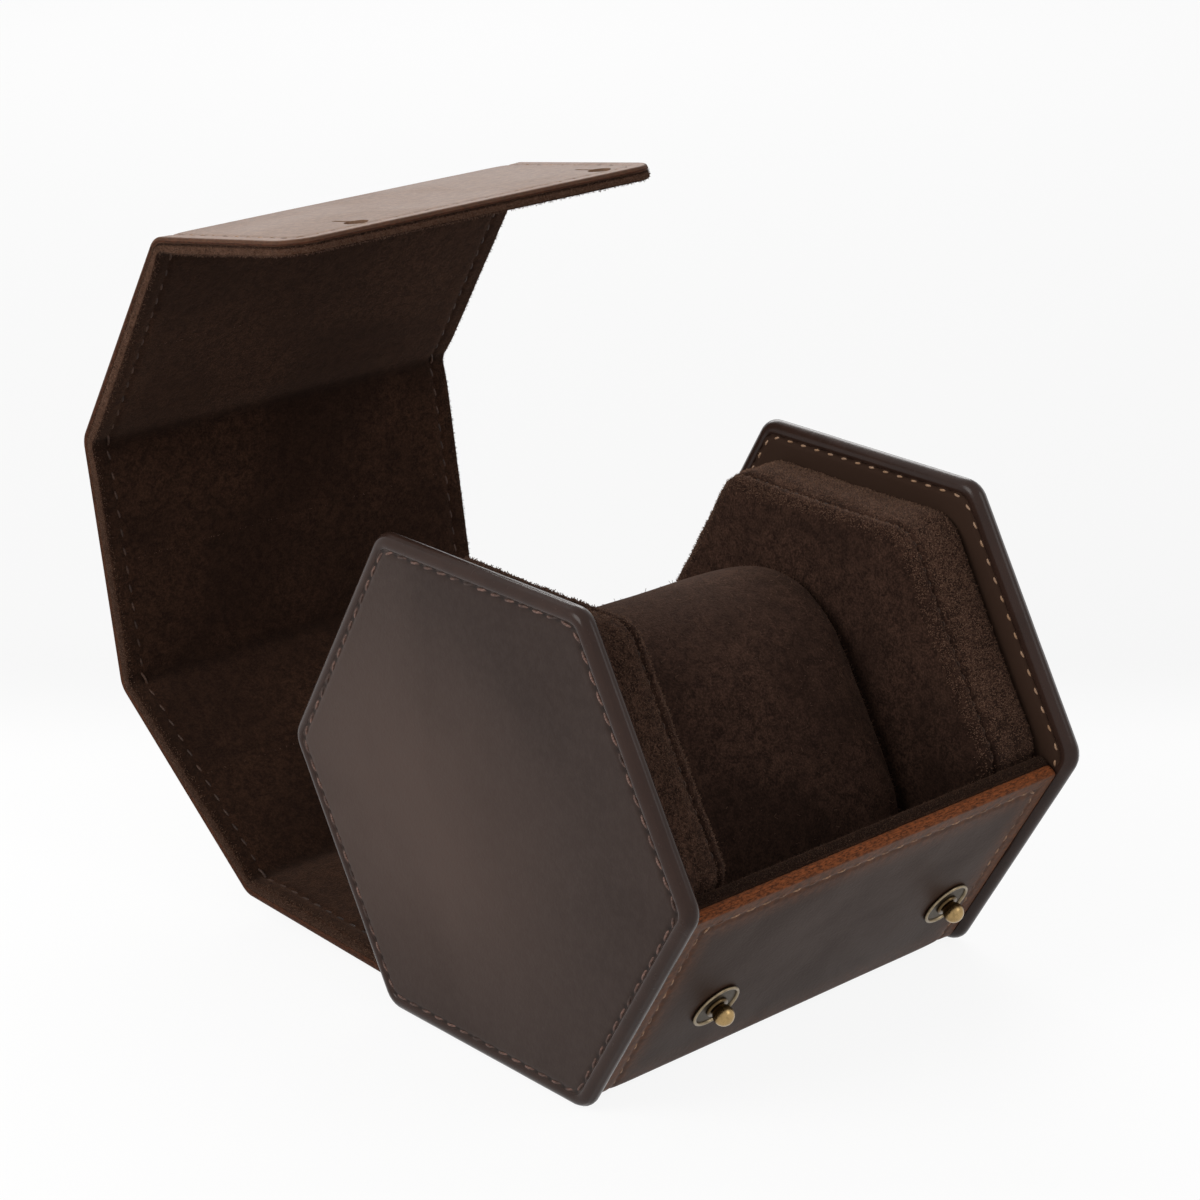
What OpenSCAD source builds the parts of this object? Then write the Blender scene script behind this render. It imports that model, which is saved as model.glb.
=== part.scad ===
// Hexagonal leather travel case for one wristwatch.
// Two stiff end plates carry padded end cushions.  A leather strip with a suede
// lining wraps round them: its first two panels are fixed (front and base), the
// other five fold up and over as the lid and button onto two brass studs.
// X runs along the case, the studs face -Y, Z is up and z = 0 is the table.

/* [End plates] */
// Side of the hexagon between its sharp corners
plate_side = 50; // [46:0.5:56]
// Thickness of an end plate
plate_t = 3.5; // [3:0.1:5]
// Radius of the plate's corners
plate_corner_r = 4.5; // [3:0.5:8]
// Clear distance between the two plates
case_w = 85.6; // [78:0.2:100]
// Leather facing on the outside of a plate
facing_t = 1.1; // [0.8:0.1:1.3]
// Leather lining on the inside of a plate
plate_lining_t = 1.1; // [0.8:0.1:1.3]
// Width of the rounded rim that binds a plate's edge
rim_w = 1.9; // [1.8:0.1:3]

/* [End cushions] */
// Thickness of an end cushion at its middle
pad_t = 13.2; // [9:0.1:16]
// Room between the plate's edge and the cushion's side
pad_margin = 6; // [5:0.1:8]
// Radius of the cushion's corners
pad_corner_r = 6; // [4:0.5:9]
// How far the cushion's sides draw in between the corners
pad_pull = 0.4; // [0:0.1:1]
// Distance of the seam round a cushion's side from its face
pad_seam = 2.8; // [2:0.1:4]
// Thickness of the suede over a cushion's foam
cover_t = 1.2; // [0.8:0.1:1.6]

/* [Leather strip] */
// Leather of the two fixed panels
fixed_leather_t = 1.8; // [1.4:0.1:2.4]
// Board inside each fixed panel
fixed_board_t = 1.2; // [0.8:0.1:1.6]
// Suede lining of the fixed panels
fixed_suede_t = 1.6; // [1.2:0.1:2]
// Leather of the lid panels
lid_leather_t = 1.5; // [1.2:0.1:2]
// Board inside each lid panel
lid_board_t = 0.9; // [0.6:0.1:1.4]
// Suede lining of the lid
lid_suede_t = 1.4; // [1:0.1:2]
// Clearance between the strip's lining and the cushions
wrap_clear = 0.3; // [0.3:0.1:1]
// Gap between a fixed panel's edge and the plate beside it
fixed_side_gap = 0.1; // [0.05:0.05:0.5]
// Gap between a lid panel's edge and the plate beside it
lid_side_gap = 1.1; // [0.6:0.1:2]
// How far the front panel stops short of the case's front corner
front_top_drop = 3.2; // [3:0.1:6]
// Leather border round each board
hem_w = 6; // [4:0.5:9]
// Run of the slope that brings the base panel down flat on the table
base_slope = 3; // [2:0.5:6]

/* [Lid] */
// Flap beyond the middle of its buttonholes, down to its free edge
flap_margin = 6; // [5.8:0.2:10]
// Radius of the flap's two free corners
flap_corner_r = 6; // [3:0.5:12]
// Clearance between the closed flap and the front panel
flap_clear = 0.3; // [0.3:0.1:1]
// Extra angle by which the panel before the flap stands out when closed
lid_bulge = 4; // [3:0.5:6]
// Gap at each fold line between neighbouring panels
fold_gap = 0.1; // [0.05:0.05:0.3]
// Clearance angle at each mitred fold end
mitre_clear = 0.75; // [0.5:0.25:2]
// Turn at the fold behind the base, as the lid stands open
open_fold_1 = 2; // [0:0.5:8]
// Turn at the second fold, as the lid stands open
open_fold_2 = 36.5; // [25:0.5:50]
// Turn at the third fold, as the lid stands open
open_fold_3 = 42; // [30:0.5:55]
// Turn at the fourth fold, as the lid stands open
open_fold_4 = 41; // [30:0.5:52]
// Turn at the flap's fold, as the lid stands open
open_fold_5 = 49; // [30:0.5:58]

/* [Studs] */
// Distance between the two studs
stud_pitch = 55.5; // [48:0.5:60]
// Middle of the pair of studs, from the middle of the case
stud_shift = 4.3; // [0:0.1:5]
// How far the studs lie below the middle of the front side
stud_drop = 9.2; // [8:0.1:12]
// Diameter of the ball on a stud
ball_d = 3.7; // [3.2:0.1:4.2]
// Height of the ball's middle above the leather
ball_h = 2.3; // [2.1:0.1:3]
// Diameter of a stud's neck
neck_d = 2.4; // [2:0.1:2.8]
// Diameter of the ring washer under a stud
washer_d = 9.4; // [8:0.2:11]
// Height of the washer's rolled rim
washer_h = 0.9; // [0.7:0.1:1.1]
// Room round the washer in the flap's lining
washer_clear = 0.3; // [0.2:0.1:0.6]
// Room round the ball in the flap's buttonhole
buttonhole_clear = 0.3; // [0.2:0.05:0.6]
// Length of the slit that lets the buttonhole open
slit_len = 4.5; // [2:0.5:6]
// Width of that slit
slit_w = 0.8; // [0.5:0.1:1.2]

/* [Watch pillow] */
// Thickness of the pillow through its crowned middle
pillow_t = 43; // [38:0.5:46]
// Height of the pillow across its rounded ends
pillow_h = 66; // [58:0.5:68]
// How far the pillow's middle plane lies behind the case's axis
pillow_back = 2.5; // [1:0.5:4]
// Gap between the pillow and what it rests against
pillow_gap = 0.3; // [0.2:0.1:0.5]

/* [Hidden] */

$fn = 48;

// Colours
leather_c = "#4a3b35";
rim_c = "#5a5152";
warm_leather_c = "#5a3a2a";
board_c = "#8b7a64";
suede_c = "#3b2a22";
foam_c = "#c9bfae";
brass_c = "#a98b4c";
old_brass_c = "#7d7058";

// Hexagon: the apothem of each layer, from the table up
half_turn = 30;                       // half of the turn at a hexagon's corner
plate_ap = plate_side * cos(half_turn);
pad_ap = plate_ap - pad_margin;
inner_ap = pad_ap + wrap_clear;
fixed_t = fixed_leather_t + fixed_board_t + fixed_suede_t;
lid_t = lid_leather_t + lid_board_t + lid_suede_t;
flap_t = lid_leather_t + lid_suede_t;
fixed_ap = inner_ap + fixed_t;
lid_ap = inner_ap + lid_t;
fixed_w = case_w - 2 * fixed_side_gap;
lid_w = case_w - 2 * lid_side_gap;
board_clear = 0.1;                    // round each board in its pocket
seat = 0.05;                          // between the parts of one plate
cut = 1;                              // how far a cutter passes a face

// Where a side of apothem a ends on a neighbour of apothem b, from its middle
function side_end(a, b) = (b - a * cos(60)) / sin(60);

// Fixed panels, from the front panel's free top edge down to the base
front_top = side_end(fixed_ap, fixed_ap) - front_top_drop;
front_len = front_top + side_end(fixed_ap, fixed_ap);
base_len = side_end(fixed_ap, lid_ap) + side_end(fixed_ap, fixed_ap);
base_y = -side_end(fixed_ap, fixed_ap);
fold_z = plate_ap - fixed_ap;         // height of the base's two fold lines

// Lid panels.  The last full panel is long enough to bring the flap's fold
// out past the front panel, with the panel tilted out by lid_bulge.
closed_ap = fixed_ap + flap_clear + flap_t;
rear_len = side_end(lid_ap, fixed_ap) + side_end(lid_ap, lid_ap);
side_len = 2 * side_end(lid_ap, lid_ap);
reach_len = closed_ap / (sin(60) * cos(lid_bulge) + cos(60) * sin(lid_bulge));
corner_s = lid_ap / cos(half_turn);   // a lid corner, from the hexagon's centre
flap_fold_s = corner_s
  - reach_len * (cos(60) * cos(lid_bulge) - sin(60) * sin(lid_bulge));

closed_fold = [60, 60, 60, 60 - lid_bulge, 60 + lid_bulge];
open_fold = [open_fold_1, open_fold_2, open_fold_3, open_fold_4, open_fold_5];
buttonhole_v = flap_fold_s + stud_drop; // from the flap's fold
flap_len = buttonhole_v + flap_margin;
panel_len = [rear_len, side_len, side_len, reach_len, flap_len];
mitre = [for (f = closed_fold) f / 2 + mitre_clear];
fixed_mitre = 30;

// Direction of open panel k and the fold line it starts from, in (y, z)
function turned(k) = k < 0 ? 0 : open_fold[k] + turned(k - 1);
function fold_at(k) = k == 0
  ? [base_y + base_len, fold_z]
  : fold_at(k - 1) + panel_len[k - 1] * [cos(turned(k - 1)), sin(turned(k - 1))];

// Studs
stud_x = [stud_shift - stud_pitch / 2, stud_shift + stud_pitch / 2];
stud_v = front_top + stud_drop;       // from the front panel's top edge
spigot_d = neck_d;
spigot_len = fixed_leather_t + fixed_board_t;
hole_play = 0.2;                      // a hole's extra diameter in the leather
screw_d = 1.3;
screw_play = 0.06;                    // a thread's extra diameter in the stud
screw_len = 1.8;
screw_head_d = 5.6;
screw_head_t = 0.7;
head_clear = 0.2;                     // round the screw's head in the lining
collar_step = 0.9;                    // how far the collar stands out from the neck
collar_d = neck_d + 2 * collar_step;
collar_h = 0.55;
washer_plate_t = 0.35;
buttonhole_d = ball_d + 2 * buttonhole_clear;
lining_hole_d = washer_d + 2 * washer_clear;

// Rounded hexagon in (y, z): apothem a, corner radius r, n steps a corner, and
// sides that draw in by pull at their middles
function hex_outline(a, r, n = 5, pull = 0) = [
  for (i = [0:5])
    let (corner = 60 * i, reach = (a - r) / cos(30), normal = corner + 30)
    each concat(
      [for (j = [0:n])
        let (ang = corner - 30 + 60 * j / n)
        [reach * cos(corner) + r * cos(ang), plate_ap + reach * sin(corner) + r * sin(ang)]],
      pull <= 0 ? [] : [for (j = [-1:1])
        let (along = j * (a - r) * tan(30) / 2, out = a - pull * (1 - j * j / 4))
        [out * cos(normal) - along * sin(normal),
         plate_ap + out * sin(normal) + along * cos(normal)]]
    )
];

// Stadium in (y, z) for the pillow, tilted back by 30 degrees
pillow_r = pillow_t / 2;
pillow_mid = [pillow_back * cos(30), plate_ap - pillow_back * sin(30)];
pillow_low = (inner_ap - pillow_gap - pillow_back * sin(30) - pillow_r) / cos(30);
pillow_up = pillow_h - pillow_t - pillow_low;
pillow_dir = [sin(30), cos(30)];
pillow_half = case_w / 2 - pad_t - pillow_gap;
pillow_steps = 10;

function pillow_outline(inset) =
  let (r = pillow_r - inset)
  concat(
    [for (j = [0:pillow_steps])
      let (a = -30 + 180 * j / pillow_steps)
      pillow_mid + pillow_up * pillow_dir + r * [cos(a), sin(a)]],
    [for (j = [0:pillow_steps])
      let (a = 150 + 180 * j / pillow_steps)
      pillow_mid - pillow_low * pillow_dir + r * [cos(a), sin(a)]]
  );

// Closed loft along X through outlines of one length, each [x, outline]
module loft(rings) {
  n = len(rings[0][1]);
  m = len(rings);
  pts = concat(
    [for (ring = rings) for (p = ring[1]) [ring[0], p.x, p.y]],
    [[rings[0][0], middle(rings[0][1]).x, middle(rings[0][1]).y],
     [rings[m - 1][0], middle(rings[m - 1][1]).x, middle(rings[m - 1][1]).y]]
  );
  sides = [for (k = [0:m - 2], i = [0:n - 1])
    let (a = k * n + i, b = k * n + (i + 1) % n, c = b + n, d = a + n)
    each [[a, d, c], [a, c, b]]];
  first = [for (i = [0:n - 1]) [m * n, i, (i + 1) % n]];
  last = [for (i = [0:n - 1])
    [m * n + 1, (m - 1) * n + (i + 1) % n, (m - 1) * n + i]];
  polyhedron(pts, concat(sides, first, last));
}

function middle(outline) = [for (c = [0:1])
  let (v = [for (p = outline) p[c]]) (max(v) + min(v)) / 2];

// Extrudes a shape drawn in (y, z) along X, from x0 over a length t
module along_x(x0, t) {
  translate([x0, 0, 0]) rotate([90, 0, 90]) linear_extrude(t) children();
}

// Puts its children on both sides of the case, or on one of them
module on_side(side) {
  if (side > 0) children();
  else mirror([1, 0, 0]) children();
}

// ---- End plates --------------------------------------------------------

module plate_layer(side, depth, t, inset, r) {
  on_side(side)
    along_x(case_w / 2 + depth, t) polygon(hex_outline(plate_ap - inset, r));
}

module plate_facing(side) {
  color(leather_c)
    plate_layer(side, plate_t - facing_t, facing_t, rim_w + seat,
                plate_corner_r - rim_w);
}

module plate_lining(side) {
  color(leather_c)
    plate_layer(side, 0, plate_lining_t, rim_w + seat, plate_corner_r - rim_w);
}

module plate_board(side) {
  color(board_c)
    plate_layer(side, plate_lining_t, plate_t - facing_t - plate_lining_t,
                rim_w + seat + board_clear, plate_corner_r - rim_w);
}

// Full-round rim: a half circle of the plate's thickness, carried round the hexagon
module plate_rim(side) {
  steps = 8;
  rim_r = plate_t / 2;
  section = concat(
    [[0, rim_w], [plate_t, rim_w]],
    [for (j = [0:steps]) let (a = 180 * j / steps)
      [rim_r + rim_r * cos(a), rim_r - rim_r * sin(a)]]
  );
  rings = [for (p = section)
    [case_w / 2 + p[0], hex_outline(plate_ap - p[1], plate_corner_r - p[1])]];
  n = len(rings[0][1]);
  m = len(rings);
  color(rim_c) on_side(side) polyhedron(
    [for (ring = rings) for (p = ring[1]) [ring[0], p.x, p.y]],
    [for (k = [0:m - 1], i = [0:n - 1])
      let (a = k * n + i, b = k * n + (i + 1) % n,
           d = ((k + 1) % m) * n + i, c = ((k + 1) % m) * n + (i + 1) % n)
      each [[a, c, d], [a, b, c]]]
  );
}

// ---- End cushions ------------------------------------------------------

// Rings of a cushion as [depth share, inset], from its crowned face to the plate,
// with a seam pressed in round its side, and the plainer rings of its foam
seam_at = 1 - pad_seam / pad_t;
seam_half = 0.5 / pad_t;
pad_rings = [
  [1, 28], [0.992, 17], [0.978, 8], [0.96, 3.4], [0.935, 1.4], [0.895, 0.4],
  [0.85, 0.05], [seam_at + seam_half, 0], [seam_at, 0.6], [seam_at - seam_half, 0],
  [0.4, 0], [0.12, 0.1], [0, 0.5]
];
foam_rings = [[1, 24], [0.98, 8], [0.93, 2], [0.8, 0.2], [0, 0.2]];

module pad_form(rings, shrink, overrun = 0) {
  loft([for (q = rings)
    [case_w / 2 - (q[0] == 0 ? -overrun : q[0] * (pad_t - shrink)),
     hex_outline(pad_ap - shrink - q[1], max(pad_corner_r - shrink - q[1] / 2, 1), 3,
                 pad_pull)]]);
}

module pad_cover(side) {
  color(suede_c) on_side(side) difference() {
    pad_form(pad_rings, 0);
    pad_form(foam_rings, cover_t, cut);
  }
}

module pad_foam(side) {
  color(foam_c) on_side(side) pad_form(foam_rings, cover_t + board_clear);
}

// ---- Fixed panels ------------------------------------------------------

// Local frame of a strip panel: Y runs along the strip from its start, and Z
// goes from the outer leather towards the inside of the case
module front_frame() {
  top = fixed_ap * [-cos(30), -sin(30)] + front_top * [-sin(30), cos(30)];
  translate([0, top[0], plate_ap + top[1]]) rotate([-60, 0, 0]) children();
}

module base_frame() {
  translate([0, base_y, fold_z]) children();
}

module lid_frame(k) {
  at = fold_at(k);
  translate([0, at[0], at[1]]) rotate([turned(k), 0, 0]) children();
}

// A slab of a strip panel between two depths, with mitred ends
module slab(w, length, z0, z1, start, end) {
  a = tan(start);
  b = tan(end);
  g = fold_gap / 2;
  translate([-w / 2, 0, 0]) rotate([90, 0, 90]) linear_extrude(w) polygon([
    [(start > 0 ? g : 0) + z0 * a, z0],
    [length - (end > 0 ? g : 0) - z0 * b, z0],
    [length - (end > 0 ? g : 0) - z1 * b, z1],
    [(start > 0 ? g : 0) + z1 * a, z1]
  ]);
}

// A board inside its leather border, drawn in by play, or the room for it,
// carried on past the leather's inner face
module board_blank(w, length, leather_t, board_t, start, end, play, past = 0) {
  depth = leather_t + board_t;
  in_start = hem_w + depth * tan(start) + play;
  in_end = hem_w + depth * tan(end) + play;
  translate([-w / 2 + hem_w + play, in_start, leather_t])
    cube([w - 2 * (hem_w + play), length - in_start - in_end, board_t + past]);
}

module leather(w, length, leather_t, board_t, start, end) {
  difference() {
    slab(w, length, 0, leather_t + board_t, start, end);
    board_blank(w, length, leather_t, board_t, start, end, 0, cut);
  }
}

module stud_places() {
  for (x = stud_x) translate([x, stud_v, 0]) children();
}

module front_leather() {
  color(warm_leather_c) front_frame() difference() {
    leather(fixed_w, front_len, fixed_leather_t, fixed_board_t, 0, fixed_mitre);
    stud_places() translate([0, 0, -cut])
      cylinder(d = spigot_d + hole_play, h = fixed_leather_t + 2 * cut);
  }
}

module front_board() {
  color(board_c) front_frame() difference() {
    board_blank(fixed_w, front_len, fixed_leather_t, fixed_board_t, 0, fixed_mitre,
                board_clear);
    stud_places() translate([0, 0, fixed_leather_t - cut])
      cylinder(d = spigot_d + hole_play, h = fixed_board_t + 2 * cut);
  }
}

module front_lining() {
  head_depth = spigot_len + screw_head_t + head_clear;
  color(suede_c) front_frame() difference() {
    slab(fixed_w, front_len, spigot_len, fixed_t, 0, fixed_mitre);
    stud_places() translate([0, 0, spigot_len - cut])
      cylinder(d = screw_head_d + 2 * head_clear, h = head_depth - spigot_len + cut);
  }
}

// The base panel's leather is full below its folds, so the case stands flat on it
module base_leather() {
  color(leather_c) base_frame() union() {
    leather(fixed_w, base_len, fixed_leather_t, fixed_board_t, fixed_mitre, mitre[0]);
    translate([-fixed_w / 2, 0, 0]) rotate([90, 0, 90]) linear_extrude(fixed_w) polygon([
      [fold_gap, 0], [base_slope, -fold_z], [base_len - base_slope, -fold_z],
      [base_len - fold_gap, 0], [base_len - base_slope, fixed_leather_t / 2],
      [base_slope, fixed_leather_t / 2]
    ]);
  }
}

module base_board() {
  color(board_c) base_frame()
    board_blank(fixed_w, base_len, fixed_leather_t, fixed_board_t, fixed_mitre,
                mitre[0], board_clear);
}

module base_lining() {
  color(suede_c) base_frame()
    slab(fixed_w, base_len, fixed_leather_t + fixed_board_t, fixed_t,
         fixed_mitre, mitre[0]);
}

// ---- Studs -------------------------------------------------------------

// Places a stud's parts with Z pointing out of the front panel
module on_front() {
  front_frame() stud_places() mirror([0, 0, 1]) children();
}

// A thin ring plate under the collar, with a round wire for its rolled rim
module stud_washers() {
  rim_r = washer_h / 2;
  bore_r = (spigot_d + hole_play) / 2;
  color(old_brass_c) on_front() rotate_extrude() {
    translate([bore_r, 0]) square([washer_d / 2 - bore_r - rim_r, washer_plate_t]);
    translate([washer_d / 2 - rim_r, rim_r]) circle(rim_r);
  }
}

module stud_posts() {
  color(brass_c) on_front() difference() {
    union() {
      translate([0, 0, -spigot_len]) cylinder(d = spigot_d, h = spigot_len + ball_h);
      translate([0, 0, washer_plate_t]) cylinder(d = collar_d, h = collar_h);
      translate([0, 0, ball_h]) sphere(d = ball_d);
    }
    translate([0, 0, -spigot_len - cut])
      cylinder(d = screw_d + screw_play, h = screw_len + 2 * cut);
  }
}

module stud_screws() {
  color(old_brass_c) on_front() {
    translate([0, 0, -spigot_len]) cylinder(d = screw_d, h = screw_len);
    translate([0, 0, -spigot_len - screw_head_t])
      cylinder(d = screw_head_d, h = screw_head_t);
  }
}

// ---- Lid ---------------------------------------------------------------

module lid_leather(k) {
  color(leather_c) lid_frame(k)
    leather(lid_w, panel_len[k], lid_leather_t, lid_board_t, mitre[k], mitre[k + 1]);
}

module lid_board(k) {
  color(board_c) lid_frame(k)
    board_blank(lid_w, panel_len[k], lid_leather_t, lid_board_t, mitre[k],
                mitre[k + 1], board_clear);
}

module lid_lining(k) {
  color(suede_c) lid_frame(k)
    slab(lid_w, panel_len[k], lid_leather_t + lid_board_t, lid_t, mitre[k], mitre[k + 1]);
}

// The flap's outline from above, with rounded free corners
module flap_plan(z0, t) {
  translate([0, 0, z0]) linear_extrude(t) union() {
    translate([-lid_w / 2, 0]) square([lid_w, flap_len - flap_corner_r]);
    translate([-lid_w / 2 + flap_corner_r, 0]) square([lid_w - 2 * flap_corner_r, flap_len]);
    for (x = [-1, 1]) translate([x * (lid_w / 2 - flap_corner_r), flap_len - flap_corner_r])
      circle(flap_corner_r);
  }
}

module flap_leather() {
  color(warm_leather_c) lid_frame(4) difference() {
    intersection() {
      slab(lid_w, flap_len, 0, lid_leather_t, mitre[4], 0);
      flap_plan(-cut, lid_leather_t + 2 * cut);
    }
    for (x = stud_x) translate([x, buttonhole_v, -cut]) {
      cylinder(d = buttonhole_d, h = lid_leather_t + 2 * cut);
      translate([-slit_w / 2, -buttonhole_d / 2 - slit_len, 0])
        cube([slit_w, buttonhole_d / 2 + slit_len, lid_leather_t + 2 * cut]);
    }
  }
}

module flap_lining() {
  color(suede_c) lid_frame(4) difference() {
    intersection() {
      slab(lid_w, flap_len, lid_leather_t, flap_t, mitre[4], 0);
      flap_plan(lid_leather_t - cut, lid_suede_t + 2 * cut);
    }
    for (x = stud_x) translate([x, buttonhole_v, lid_leather_t - cut])
      cylinder(d = lining_hole_d, h = lid_suede_t + 2 * cut);
  }
}

// ---- Watch pillow ------------------------------------------------------

// Rings of half the pillow, as [share of its half length, inset], and of its core
pillow_rings = [
  [0, 0], [0.35, 0.15], [0.62, 0.45], [0.8, 0.85], [0.9, 1.5],
  [0.955, 2.4], [0.985, 4.2], [0.995, 7], [1, 12]
];
core_rings = [[0, 0], [0.55, 0.3], [0.88, 1.2], [0.97, 3], [1, 9]];

module pillow_form(rings, shrink) {
  half = pillow_half - shrink;
  m = len(rings);
  loft(concat(
    [for (k = [m - 1:-1:1]) [-half * rings[k][0], pillow_outline(rings[k][1] + shrink)]],
    [for (q = rings) [half * q[0], pillow_outline(q[1] + shrink)]]
  ));
}

module pillow_cover() {
  color(suede_c) difference() {
    pillow_form(pillow_rings, 0);
    pillow_form(core_rings, cover_t);
  }
}

module pillow_core() {
  color(foam_c) pillow_form(core_rings, cover_t + board_clear);
}

// ---- Nodes -------------------------------------------------------------

plate_facing(-1);  // left_plate_facing
plate_board(-1);  // left_plate_board
plate_lining(-1);  // left_plate_lining
plate_rim(-1);  // left_plate_rim
plate_facing(1);  // right_plate_facing
plate_board(1);  // right_plate_board
plate_lining(1);  // right_plate_lining
plate_rim(1);  // right_plate_rim
pad_cover(-1);  // left_pad_cover
pad_foam(-1);  // left_pad_foam
pad_cover(1);  // right_pad_cover
pad_foam(1);  // right_pad_foam
front_leather();
front_board();
front_lining();
base_leather();
base_board();
base_lining();
stud_washers();
stud_posts();
stud_screws();
lid_leather(0);  // lid_rear_leather
lid_board(0);  // lid_rear_board
lid_lining(0);  // lid_rear_lining
lid_leather(1);  // lid_back_leather
lid_board(1);  // lid_back_board
lid_lining(1);  // lid_back_lining
lid_leather(2);  // lid_top_leather
lid_board(2);  // lid_top_board
lid_lining(2);  // lid_top_lining
lid_leather(3);  // lid_front_leather
lid_board(3);  // lid_front_board
lid_lining(3);  // lid_front_lining
flap_leather();
flap_lining();
pillow_cover();
pillow_core();
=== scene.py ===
import math
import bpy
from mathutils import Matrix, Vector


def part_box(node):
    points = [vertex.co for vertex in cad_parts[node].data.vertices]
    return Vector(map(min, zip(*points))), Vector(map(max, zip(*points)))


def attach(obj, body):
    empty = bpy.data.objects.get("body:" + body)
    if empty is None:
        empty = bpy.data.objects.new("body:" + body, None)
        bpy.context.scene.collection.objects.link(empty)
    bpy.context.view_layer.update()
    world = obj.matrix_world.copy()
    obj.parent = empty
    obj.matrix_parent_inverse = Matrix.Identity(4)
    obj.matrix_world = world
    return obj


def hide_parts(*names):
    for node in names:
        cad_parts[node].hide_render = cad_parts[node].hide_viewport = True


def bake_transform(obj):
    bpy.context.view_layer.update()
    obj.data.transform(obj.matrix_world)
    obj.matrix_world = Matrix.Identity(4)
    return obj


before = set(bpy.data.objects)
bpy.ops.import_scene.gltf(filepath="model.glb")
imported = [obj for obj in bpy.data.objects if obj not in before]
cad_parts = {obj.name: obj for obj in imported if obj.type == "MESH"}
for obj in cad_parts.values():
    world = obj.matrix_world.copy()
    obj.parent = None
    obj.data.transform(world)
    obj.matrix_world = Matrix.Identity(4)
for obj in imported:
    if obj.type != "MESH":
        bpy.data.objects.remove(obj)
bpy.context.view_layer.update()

from types import SimpleNamespace

import bmesh
import bpy
import numpy as np
from mathutils import Matrix, Vector, noise

bl_info = {
    "name": "Hexagonal watch travel case",
    "version": (1, 0, 0),
    "blender": (4, 5, 0),
    "location": "View3D > Sidebar > Case",
    "description": "Dresses the hexagonal leather travel case in leather, suede, thread and brass",
    "category": "Object",
}

MM = 0.001
RIGHT_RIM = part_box("right_plate_rim")
RIGHT_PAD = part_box("right_pad_cover")
PILLOW_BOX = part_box("pillow_cover")
TAN30 = math.tan(math.radians(30))
COS30 = math.cos(math.radians(30))
SIDES = ((1, "right"), (-1, "left"))
STRIP_GAP = 0.3 * MM        # room between the cushions' edge and the strip's suede
LEAST_CORNER = 1.2 * MM
FIBRES = {"cushion": 1.05e7, "pillow": 1.1e6, "strip": 2e7}     # to a square metre
CUSHION_STITCH = {"Pitch": 2.4 * MM, "Thread": 0.14 * MM, "Slant": 0.0, "Share": 0.45,
                  "Rise": 0.3 * MM}
PILLOW_STITCH = {"Pitch": 2.6 * MM, "Thread": 0.18 * MM, "Slant": 0.0, "Share": 0.6,
                 "Rise": 0.3 * MM}


# ---- Sizes and colours a user would change ----

def size(name, description, default):
    return bpy.props.FloatProperty(name=name, description=description, default=default,
                                   min=0, precision=5, unit="LENGTH", subtype="DISTANCE")


def shade(name, description, hexcode):
    channels = [int(hexcode[i:i + 2], 16) / 255 for i in (0, 2, 4)]
    linear = [c / 12.92 if c <= 0.04045 else ((c + 0.055) / 1.055) ** 2.4 for c in channels]
    return bpy.props.FloatVectorProperty(name=name, description=description, size=3,
                                         default=linear, min=0, max=1, subtype="COLOR")


class CaseSizes(bpy.types.PropertyGroup):
    """Sizes of the case's visible parts"""
    plate_side: size("Plate side", "Side of the hexagon between its sharp corners",
                     (RIGHT_RIM[1].z - RIGHT_RIM[0].z) / 2 / COS30)
    plate_t: size("Plate thickness", "Thickness of an end plate",
                  RIGHT_RIM[1].x - RIGHT_RIM[0].x)
    plate_corner: size("Plate corner", "Radius of a plate's corners", 4.5 * MM)
    case_w: size("Clear width", "Clear distance between the two plates", 2 * RIGHT_RIM[0].x)
    pad_t: size("Cushion thickness", "Thickness of an end cushion",
                RIGHT_PAD[1].x - RIGHT_PAD[0].x)
    pad_margin: size("Cushion margin", "Room between a plate's edge and its cushion", 6 * MM)
    pad_seam: size("Cushion seam", "Distance of the side seam from the cushion's face", 2.8 * MM)
    seam_inset: size("Seam inset", "Distance of a seam from the edge it follows", 2.8 * MM)
    strip_seam: size("Strip seam", "Distance of the strip's seam from its edges", 3.3 * MM)
    fixed_t: size("Fixed panel", "Thickness of the front and base panels", 4.6 * MM)
    lid_t: size("Lid panel", "Thickness of a lid panel", 3.8 * MM)
    flap_t: size("Flap", "Thickness of the flap", 2.9 * MM)
    fixed_half: size("Fixed half width", "Half width of the fixed panels", 42.7 * MM)
    lid_half: size("Lid half width", "Half width of the lid panels", 41.7 * MM)
    front_drop: size("Front drop", "How far the front panel stops short of the corner",
                     3.2 * MM)
    base_slope: size("Base slope", "Run of the slope down to the table", 3 * MM)
    flap_corner: size("Flap corner", "Radius of the flap's free corners", 6 * MM)
    stitch_pitch: size("Stitch pitch", "Distance from one stitch to the next", 3.35 * MM)
    thread_r: size("Thread", "Radius of the sewing thread", 0.235 * MM)
    stud_pitch: size("Stud pitch", "Distance between the studs", 55.5 * MM)
    stud_shift: size("Stud shift", "Middle of the studs from the case's middle", 4.3 * MM)
    stud_drop: size("Stud drop", "How far the studs lie below the side's middle", 9.2 * MM)
    ball_d: size("Stud ball", "Diameter of the ball on a stud", 3.7 * MM)
    washer_d: size("Stud washer", "Diameter of the ring washer", 9.4 * MM)
    nap_length: size("Nap", "Length of the suede's raw fibres", 0.75 * MM)


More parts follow.
